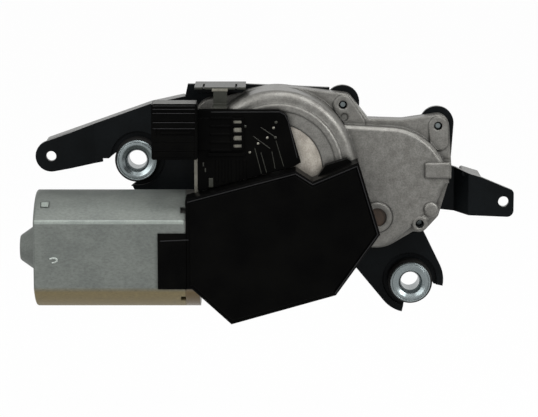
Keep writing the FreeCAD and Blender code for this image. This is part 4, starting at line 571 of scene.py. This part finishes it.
def add_turned(shape: bmesh.types.BMesh, profile: Sequence[Point], centre: Point, face: float,
               steps: int = TURNED_STEPS) -> None:
    """Spin a profile into a ring or a knob on a front-facing face.

    Args:
        shape: The shape that takes the turned piece.
        profile: The radius of each corner and how far it stands in front of the face.
        centre: X and Z of the axis, which runs along Y.
        face: The face's depth.
        steps: Facets round the axis.
    """
    middle = Vector((centre[0], 0, centre[1])) * MM
    corners = [shape.verts.new(middle + Vector((radius, -face - height, 0)) * MM)
               for radius, height in profile]
    edges = [shape.edges.new(pair) for pair in zip(corners, corners[1:])]
    bmesh.ops.spin(shape, geom=corners + edges, cent=middle, axis=(0, 1, 0), angle=2 * math.pi, steps=steps,
                   use_merge=True)
    bmesh.ops.remove_doubles(shape, verts=shape.verts, dist=JOIN_MM * MM)


@dataclass(frozen=True)
class Knob:
    """A solid round knob with a rounded front edge, measured from the face that it stands on.

    Args:
        radius: Its radius.
        sunk: How deep its foot lies behind the face.
        proud: How far it stands in front of the face.
        round_mm: How far its edge is rounded.
    """

    radius: float
    sunk: float
    proud: float
    round_mm: float

    def profile(self) -> List[Point]:
        """Return the knob's profile, for add_turned.

        Returns:
            The radius of each corner and how far it stands in front of the face.
        """
        cut = CORNER_CUT * self.round_mm
        return [(0.0, -self.sunk), (self.radius, -self.sunk), (self.radius, self.proud - self.round_mm),
                (self.radius - cut, self.proud - cut), (self.radius - self.round_mm, self.proud),
                (0.0, self.proud)]


@dataclass(frozen=True)
class Hoop:
    """A low round ring, measured from the face that it stands on.

    Args:
        radius: The radius of its middle.
        foot_half: Half the width of its foot.
        crest_half: Half the width of its crest.
        sunk: How deep its foot lies behind the face.
        proud: How far it stands in front of the face.
    """

    radius: float
    foot_half: float
    crest_half: float
    sunk: float
    proud: float

    def profile(self) -> List[Point]:
        """Return the ring's closed profile, for add_turned.

        Returns:
            The radius of each corner and how far it stands in front of the face.
        """
        inner, outer = self.radius - self.foot_half, self.radius + self.foot_half
        return [(inner, -self.sunk), (self.radius - self.crest_half, self.proud),
                (self.radius + self.crest_half, self.proud), (outer, -self.sunk), (inner, -self.sunk)]


@dataclass
class LeadCarrier:
    """What stands on the moulded plate under the lead frame: ribs, rim, traces, welds and bent tabs, and a
    pale bar on the clip's bend; the rim and that bar are painted highlights.
    """

    face: float = 55.9
    # X of each low rib, and Z of their ends
    low_ribs: Tuple[float, ...] = (-72.3, -69.4, -66.6, -63.0, -59.8)
    low_rib_ends: Span = (28.3, 19.5)
    low_rib: Section = Section(1.2, 0.0, 0.45)
    shelf: Line = ((-75.6, 31.2), (-60.5, 31.2))
    shelf_section: Section = Section(1.6, 0.0, 0.9)
    # X of the window's sides, and Z and width of each bar across it
    window: Span = (-65.4, -60.9)
    window_bars: Tuple[Tuple[float, float], ...] = (
        (47.2, 1.2), (44.6, 1.4), (40.8, 1.2), (36.8, 1.8), (33.9, 1.2))
    window_height: float = 1.85
    upright_ends: Span = (33.6, 47.4)
    upright_width: float = 0.9
    # The rim is a paler line along the plate's edge: a painted highlight
    rim: Line = ((-74.7, 50.2), (-44.3, 50.3), (-42.1, 49.0), (-40.7, 46.3), (-36.6, 29.8))
    rim_section: Section = Section(0.45, 0.2, 0.3)
    traces: Tuple[Line, ...] = (
        ((-52.7, 43.3), (-46.0, 38.8)), ((-56.0, 39.3), (-48.7, 33.9)), ((-55.4, 33.7), (-52.5, 22.6)),
        ((-52.7, 31.9), (-50.2, 23.0)), ((-46.0, 37.3), (-42.6, 25.9)), ((-47.8, 32.3), (-46.4, 24.8)))
    trace_section: Section = Section(0.35, 0.1, 0.2)
    welds: Line = ((-47.1, 43.1), (-49.9, 38.7), (-54.0, 36.1), (-57.7, 32.1))
    weld_radius: float = 0.62
    dull_welds: Line = ((-59.8, 43.8), (-46.0, 45.6), (-46.3, 38.8))
    dull_weld_radius: float = 0.7
    weld_height: float = 0.35
    # A pale tinned bar on the dark spring clip's bend: a painted highlight where the bend catches the light
    clip_bend_highlight: Line = ((-74.0, 58.8), (-68.3, 58.8))
    clip_face: float = 46.0
    clip_section: Section = Section(1.5, 0.6, 0.1, 0.3)
    tab: Line = ((-75.0, 19.6), (-75.0, 17.4))
    tab_section: Section = Section(2.0, 0.0, 0.5)
    bends: Line = ((-77.9, 43.9), (-77.9, 40.2), (-78.4, 26.7), (-77.5, 24.1))
    bend_half: float = 0.6
    bend_section: Section = Section(0.6, 0.2, 0.3)

    def build(self, wardrobe: Wardrobe) -> None:
        """Make the moulded ribs and rim, then what is metal.

        Args:
            wardrobe: What gives the pieces their finish.
        """
        wardrobe.place(self.ribs(), "carrier_ribs", "black_plastic", "frame")
        # Painted highlight: the rim in the paler component black along the plate's edge
        rim = bmesh.new()
        add_line(rim, self.rim, self.face, self.rim_section)
        wardrobe.place(rim, "carrier_rim_highlight", "component_black", "frame")
        traces = bmesh.new()
        for trace in self.traces:
            add_line(traces, trace, self.face, self.trace_section)
        wardrobe.place(traces, "carrier_traces", "clip_steel", "frame")
        welds = bmesh.new()
        for spot in self.welds:
            add_dot(welds, spot, self.face, self.weld_radius, self.weld_height)
        wardrobe.place(welds, "carrier_welds", "tinned", "frame")
        # Painted highlight: the clip's bend in pale tinned metal
        bend = bmesh.new()
        add_line(bend, self.clip_bend_highlight, self.clip_face, self.clip_section)
        wardrobe.place(bend, "clip_bend_highlight", "tinned", "frame")
        dull = bmesh.new()
        for spot in self.dull_welds:
            add_dot(dull, spot, self.face, self.dull_weld_radius, self.weld_height)
        add_line(dull, self.tab, self.face, self.tab_section)
        for x, z in self.bends:
            add_bar(dull, (x, z - self.bend_half), (x, z + self.bend_half), self.face, self.bend_section)
        wardrobe.place(dull, "terminal_bends", "clip_steel", "frame")

    def ribs(self) -> bmesh.types.BMesh:
        """Make the low ribs, the shelf over them and the comb of the window.

        Returns:
            The shape of all of them.
        """
        shape = bmesh.new()
        top, foot = self.low_rib_ends
        for x in self.low_ribs:
            add_bar(shape, (x, top), (x, foot), self.face, self.low_rib)
        add_line(shape, self.shelf, self.face, self.shelf_section)
        left, right = self.window
        for z, width in self.window_bars:
            add_bar(shape, (left + width / 2, z), (right - width / 2, z), self.face,
                    Section(width, 0.0, self.window_height))
        foot, top = self.upright_ends
        for x in self.window:
            add_bar(shape, (x, foot), (x, top), self.face,
                    Section(self.upright_width, 0.0, self.window_height))
        return shape


@dataclass
class PlugBlock:
    """What stands on the front of the connector block: fine lines, paler than the block as painted
    highlights, ribs, upright, sill and latch bar.
    """

    face: float = 66.0
    left: float = -100.2
    right: float = -81.4
    # Z of each line and of each rib
    lines: Tuple[float, ...] = (54.3, 52.8, 51.0, 46.9, 44.2)
    line_section: Section = Section(0.35, 0.2, 0.3)
    ribs: Tuple[float, ...] = (38.5, 34.4)
    rib_section: Section = Section(0.4, 0.2, 0.3)
    upright: Line = ((-81.4, 31.2), (-81.4, 54.2))
    upright_section: Section = Section(0.8, 0.2, 0.3)
    sill: Line = ((-98.8, 32.5), (-83.4, 32.5))
    sill_section: Section = Section(2.4, 0.2, 0.2)
    latch: Line = ((-96.5, 42.2), (-84.0, 42.2))
    latch_section: Section = Section(1.2, 0.7, -0.2)

    def build(self, wardrobe: Wardrobe) -> None:
        """Make the fine lines, then the ribs and bars.

        Args:
            wardrobe: What gives the pieces their finish.
        """
        # Painted highlights: the fine lines in the paler component black
        lines = bmesh.new()
        for z in self.lines:
            add_bar(lines, (self.left, z), (self.right, z), self.face, self.line_section)
        wardrobe.place(lines, "plug_block_line_highlights", "component_black", "frame")
        shape = bmesh.new()
        for z in self.ribs:
            add_bar(shape, (self.left, z), (self.right, z), self.face, self.rib_section)
        add_line(shape, self.upright, self.face, self.upright_section)
        add_line(shape, self.sill, self.face, self.sill_section)
        add_line(shape, self.latch, self.face, self.latch_section)
        wardrobe.place(shape, "plug_block_ribs", "black_plastic", "frame")


@dataclass
class ShaftThread:
    """The thread on the free end of the output shaft."""

    radius: float = 4.0
    # How far a ridge stands out of the shaft and is sunk in it, and half its foot as a share of the pitch
    crest: float = 0.42
    root: float = 0.1
    half_share: float = 0.42
    pitch: float = 1.25
    start: float = 13.4
    length: float = 10.6
    steps_per_turn: int = 28

    def build(self, wardrobe: Wardrobe) -> None:
        """Screw a small triangular section along the shaft.

        Args:
            wardrobe: What gives the piece its finish.
        """
        shape = bmesh.new()
        half = self.pitch * self.half_share
        section = [(self.radius - self.root, self.start - half), (self.radius + self.crest, self.start),
                   (self.radius - self.root, self.start + half)]
        corners = [shape.verts.new(Vector((radius, y, 0)) * MM) for radius, y in section]
        face = shape.faces.new(corners)
        turns = (self.length - 2 * half) / self.pitch
        steps = int(turns * self.steps_per_turn)
        rise = Vector((0, self.pitch / self.steps_per_turn, 0)) * MM
        bmesh.ops.spin(shape, geom=[face] + list(face.edges) + corners, cent=(0, 0, 0), axis=(0, 1, 0),
                       dvec=rise, angle=2 * math.pi * steps / self.steps_per_turn, steps=steps)
        wardrobe.place(shape, "output_thread", "bright_steel", "output")


@dataclass
class ScrewHeads:
    """The hexagon heads of the three screws, behind the bracket's plate."""

    screws: Line = ((-15.6, 50.7), (27.7, 41.0), (19.6, -3.8))
    middle: float = -18.9
    radius: float = 3.2
    height: float = 2.2
    round_mm: float = 0.2
    sides: int = 6

    def build(self, wardrobe: Wardrobe) -> None:
        """Make the three heads.

        Args:
            wardrobe: What gives the piece its finish.
        """
        shape = bmesh.new()
        upright = Matrix.Rotation(math.pi / 2, 4, "X")
        for x, z in self.screws:
            place = Matrix.Translation(Vector((x, self.middle, z)) * MM)
            made = bmesh.ops.create_cone(shape, cap_ends=True, segments=self.sides, radius1=self.radius * MM,
                                         radius2=self.radius * MM, depth=self.height * MM,
                                         matrix=place @ upright)
            round_edges(shape, made["verts"], self.round_mm)
        wardrobe.place(shape, "screw_hexagons", "sleeve_zinc", "frame")


@dataclass
class CastMarks:
    """What stands on the casting: side block, pip, its web, lower ear's boss, bore end and dome centre."""

    face: float = 40.0
    block: Line = ((24.95, 21.65), (29.25, 21.65))
    block_section: Section = Section(7.1, 1.0, 2.0, 0.7)
    pip: Point = (24.5, 3.5)
    pip_knob: Knob = Knob(3.5, 6.0, 1.3, 1.1)
    web: Line = ((22.2, 0.0), (23.6, 1.8))
    web_section: Section = Section(3.6, 5.0, -0.1, 0.5)
    boss: Point = (19.5, -3.2)
    # Radius, and how far in front of the face, of each corner
    boss_profile: Line = ((1.9, -5.6), (1.9, 0.25), (3.0, 0.25), (3.45, 0.05), (3.6, -0.45), (3.6, -5.6),
                          (1.9, -5.6))
    bore: Point = (0.0, 0.0)
    bore_hoop: Hoop = Hoop(7.4, 0.2, 0.1, 0.2, 0.15)
    bore_knob: Knob = Knob(4.5, 0.6, 0.3, 0.25)
    dome: Point = (-45.5, 23.85)
    dome_face: float = 51.0
    dome_knob: Knob = Knob(20.3, 0.4, 0.05, 0.1)

    def build(self, wardrobe: Wardrobe) -> None:
        """Make the marks in their finishes.

        Args:
            wardrobe: What gives the pieces their finish.
        """
        cast = bmesh.new()
        add_line(cast, self.block, self.face, self.block_section)
        add_turned(cast, self.pip_knob.profile(), self.pip, self.face)
        add_line(cast, self.web, self.face, self.web_section)
        add_turned(cast, self.boss_profile, self.boss, self.face)
        add_turned(cast, self.bore_hoop.profile(), self.bore, self.face)
        wardrobe.place(cast, "cast_marks", "die_cast_aluminium", "frame")
        disc = bmesh.new()
        add_turned(disc, self.bore_knob.profile(), self.bore, self.face)
        wardrobe.place(disc, "bore_end", "stained_bore", "frame")
        centre = bmesh.new()
        add_turned(centre, self.dome_knob.profile(), self.dome, self.dome_face)
        wardrobe.place(centre, "dome_centre", "rubbed_cast", "frame")


@dataclass
class CanMarks:
    """The rolled crease along the can's flat, the rim of its punched tongue and the floor of its dimple; the
    crease and the dimple's floor are paler, as painted highlights.
    """

    face: float = 64.8
    crease: Line = ((-152.6, 1.9), (-88.0, 1.9))
    crease_section: Section = Section(2.2, 1.0, 0.06, 0.6)
    tongue: Line = ((-146.6, -14.5), (-145.6, -14.2), (-144.4, -14.2), (-143.6, -14.8), (-143.7, -15.6),
                    (-144.6, -16.1), (-145.6, -16.3))
    tongue_section: Section = Section(0.7, 0.3, 0.3, 0.2)
    # Y and Z of the can's axis, then the dimple's place, how far out it lies and its direction round the axis
    axis: Point = (-43.3, -13.4)
    dimple_x: float = -149.3
    dimple_radius: float = 26.3
    dimple_angle_deg: float = 122.5
    dimple_size: Place = (3.2, 3.2, 0.2)

    def build(self, wardrobe: Wardrobe) -> None:
        """Make the crease, the tongue's rim and the dimple's floor.

        Args:
            wardrobe: What gives the pieces their finish.
        """
        # Painted highlights: the crease bar and the dimple's floor take a paler zinc than the can
        crease = bmesh.new()
        add_line(crease, self.crease, self.face, self.crease_section)
        wardrobe.place(crease, "can_crease_highlight", "crease_highlight_zinc", "frame")
        tongue = bmesh.new()
        add_line(tongue, self.tongue, self.face, self.tongue_section)
        wardrobe.place(tongue, "punched_tongue", "pale_zinc", "frame")
        floor = bmesh.new()
        turn = math.radians(self.dimple_angle_deg)
        outward = Vector((0, math.cos(turn), math.sin(turn)))
        middle = Vector((self.dimple_x, *self.axis)) + outward * self.dimple_radius
        size = Matrix.Diagonal((*(Vector(self.dimple_size) * MM), 1.0))
        bmesh.ops.create_cube(floor, size=1.0, matrix=Matrix.Translation(middle * MM)
                              @ Matrix.Rotation(turn - math.pi / 2, 4, "X") @ size)
        wardrobe.place(floor, "dimple_floor_highlight", "crease_highlight_zinc", "frame")


@dataclass
class SleeveRims:
    """The turned rim and the funnel of each bolt sleeve's flange."""

    sleeves: Line = ((-109.4, 24.6), (16.1, -32.2))
    face: float = 31.0
    # Radius, and how far in front of the face, of each corner
    profile: Line = ((9.0, -0.4), (9.1, 0.5), (8.9, 0.8), (8.5, 0.8), (8.4, 0.55), (8.2, 0.75), (7.3, 0.8),
                     (6.9, 0.65), (5.4, -0.1), (5.4, -0.4), (9.0, -0.4))
    steps: int = 64

    def build(self, wardrobe: Wardrobe) -> None:
        """Make one ring for each sleeve.

        Args:
            wardrobe: What gives the piece its finish.
        """
        shape = bmesh.new()
        for centre in self.sleeves:
            add_turned(shape, self.profile, centre, self.face, self.steps)
        wardrobe.place(shape, "sleeve_rims", "sleeve_zinc", "frame")


@dataclass
class CoverRimHighlight:
    """The fine raised line that follows the electronics cover's edge, and the one on its tongue, both paler
    than the cover as painted highlights.
    """

    face: float = 66.5
    line: Line = ((-85.2, 11.3), (-37.4, 24.0), (-29.8, 19.2), (-10.2, 27.4), (-0.8, -3.3), (-19.6, -29.9))
    line_section: Section = Section(0.4, 0.9, -0.02, 0.1)
    ledge: Line = ((-97.3, -6.3), (-85.1, -5.8))
    ledge_face: float = 65.7
    ledge_section: Section = Section(0.5, 0.3, 0.2)

    def build(self, wardrobe: Wardrobe) -> None:
        """Make both lines as one piece.

        Args:
            wardrobe: What gives the piece its finish.
        """
        # Painted highlights: both lines in the paler component black
        shape = bmesh.new()
        add_line(shape, self.line, self.face, self.line_section)
        add_line(shape, self.ledge, self.ledge_face, self.ledge_section)
        wardrobe.place(shape, "cover_rim", "component_black", "frame")


@dataclass(frozen=True)
class Lamp:
    """A square soft lamp: its place, its side in millimetres and its power in watts."""

    name: str
    place: Place
    side: float
    power: float

    def hang(self, aim: Place) -> None:
        """Hang the lamp so that it looks at the motor.

        Args:
            aim: The point that it looks at.
        """
        light = bpy.data.lights.new(self.name, "AREA")
        light.shape = "SQUARE"
        light.size = self.side * MM
        light.energy = self.power
        hung = bpy.data.objects.new(self.name, light)
        hung.location = Vector(self.place) * MM
        hung.rotation_euler = (Vector(aim) - Vector(self.place)).to_track_quat("-Z", "Y").to_euler()
        bpy.context.scene.collection.objects.link(hung)


@dataclass
class Studio:
    """White sweep, soft lamps and the camera."""

    floor: float = -110.0
    front_edge: float = -200.0
    wall: float = 2500.0
    wall_top: float = 3500.0
    half_width: float = 3500.0
    paper: str = "E8E8E8"
    light: str = "FFFFFF"
    background_share: float = 0.98
    world_level: float = 0.25
    lamps: Tuple[Lamp, ...] = (Lamp("lamp_above", (150.0, -350.0, 900.0), 700.0, 6.5),
                               Lamp("lamp_left", (-600.0, -800.0, 400.0), 600.0, 5.0),
                               Lamp("lamp_right", (650.0, -700.0, 500.0), 400.0, 6.0))
    aim: Place = (-49.12, -40.0, 3.93)
    elevation_deg: float = 10.0
    distance: float = 1050.0
    focal_pixels: float = 2310.0
    image_width: int = 538
    sensor: float = 36.0
    clip_m: Span = (0.05, 20.0)

    def build(self) -> None:
        """Make the sweep, the lamps, the world and the camera."""
        self.make_sweep()
        for lamp in self.lamps:
            lamp.hang(self.aim)
        self.make_world()
        self.make_camera()

    def make_sweep(self) -> None:
        """Make the floor and the wall behind as one bent sheet."""
        shape = bmesh.new()
        ends = [shape.verts.new(Vector((side, self.front_edge, self.floor)) * MM)
                for side in (-self.half_width, self.half_width)]
        edge = shape.edges.new(ends)
        for move in ((0, self.wall - self.front_edge, 0), (0, 0, self.wall_top)):
            grown = bmesh.ops.extrude_edge_only(shape, edges=[edge])
            ends = [item for item in grown["geom"] if isinstance(item, bmesh.types.BMVert)]
            bmesh.ops.translate(shape, verts=ends, vec=Vector(move) * MM)
            edge = next(item for item in grown["geom"] if isinstance(item, bmesh.types.BMEdge))
        make_object(shape, "white_sweep", self.white())

    def white(self) -> bpy.types.Material:
        """Mix matt paper, which lights the motor, with a glow, which shows as the white background.

        Returns:
            The material.
        """
        made = bpy.data.materials.new("white_paper")
        output = blank_nodes(made, "ShaderNodeOutputMaterial")
        tree = made.node_tree
        matt = add_node(tree, "ShaderNodeBsdfDiffuse", {"Color": linear(self.paper)})
        glow = add_node(tree, "ShaderNodeEmission", {"Color": linear(self.light), "Strength": 1.0})
        share = ranged(tree, seen_rays(tree), WHOLE, (0.0, self.background_share))
        blend = add_node(tree, "ShaderNodeMixShader", links={"Fac": share})
        tree.links.new(matt.outputs["BSDF"], blend.inputs[1])
        tree.links.new(glow.outputs["Emission"], blend.inputs[2])
        tree.links.new(blend.outputs["Shader"], output.inputs["Surface"])
        return made

    def make_world(self) -> None:
        """Make the room: even soft light, seen and mirrored as white."""
        world = bpy.data.worlds.new("studio")
        bpy.context.scene.world = world
        output = blank_nodes(world, "ShaderNodeOutputWorld")
        tree = world.node_tree
        level = ranged(tree, seen_rays(tree), WHOLE, (self.world_level, 1.0))
        glow = add_node(tree, "ShaderNodeBackground", {"Color": linear(self.light)}, {"Strength": level})
        tree.links.new(glow.outputs["Background"], output.inputs["Surface"])

    def make_camera(self) -> None:
        """Stand the camera where the photograph was taken from."""
        lens = bpy.data.cameras.new("camera")
        lens.sensor_width = self.sensor
        lens.lens = self.sensor * self.focal_pixels / self.image_width
        lens.clip_start, lens.clip_end = self.clip_m
        stand = bpy.data.objects.new("camera", lens)
        tilt = math.radians(self.elevation_deg)
        away = Vector((0, -math.cos(tilt), math.sin(tilt))) * self.distance
        stand.location = (Vector(self.aim) + away) * MM
        stand.rotation_euler = (math.pi / 2 - tilt, 0, 0)
        bpy.context.scene.collection.objects.link(stand)
        bpy.context.scene.camera = stand


def main() -> None:
    """Dress the nodes, add the small details and set up the studio."""
    logging.basicConfig(level=logging.INFO, format="%(message)s")
    bpy.context.scene.view_settings.view_transform = "Standard"
    wardrobe = Wardrobe()
    wardrobe.dress_nodes()
    for assembly in (LeadCarrier(), PlugBlock(), ShaftThread(), ScrewHeads(), CastMarks(), CanMarks(),
                     SleeveRims(), CoverRimHighlight()):
        assembly.build(wardrobe)
    Studio().build()


if __name__ == "__main__":
    main()
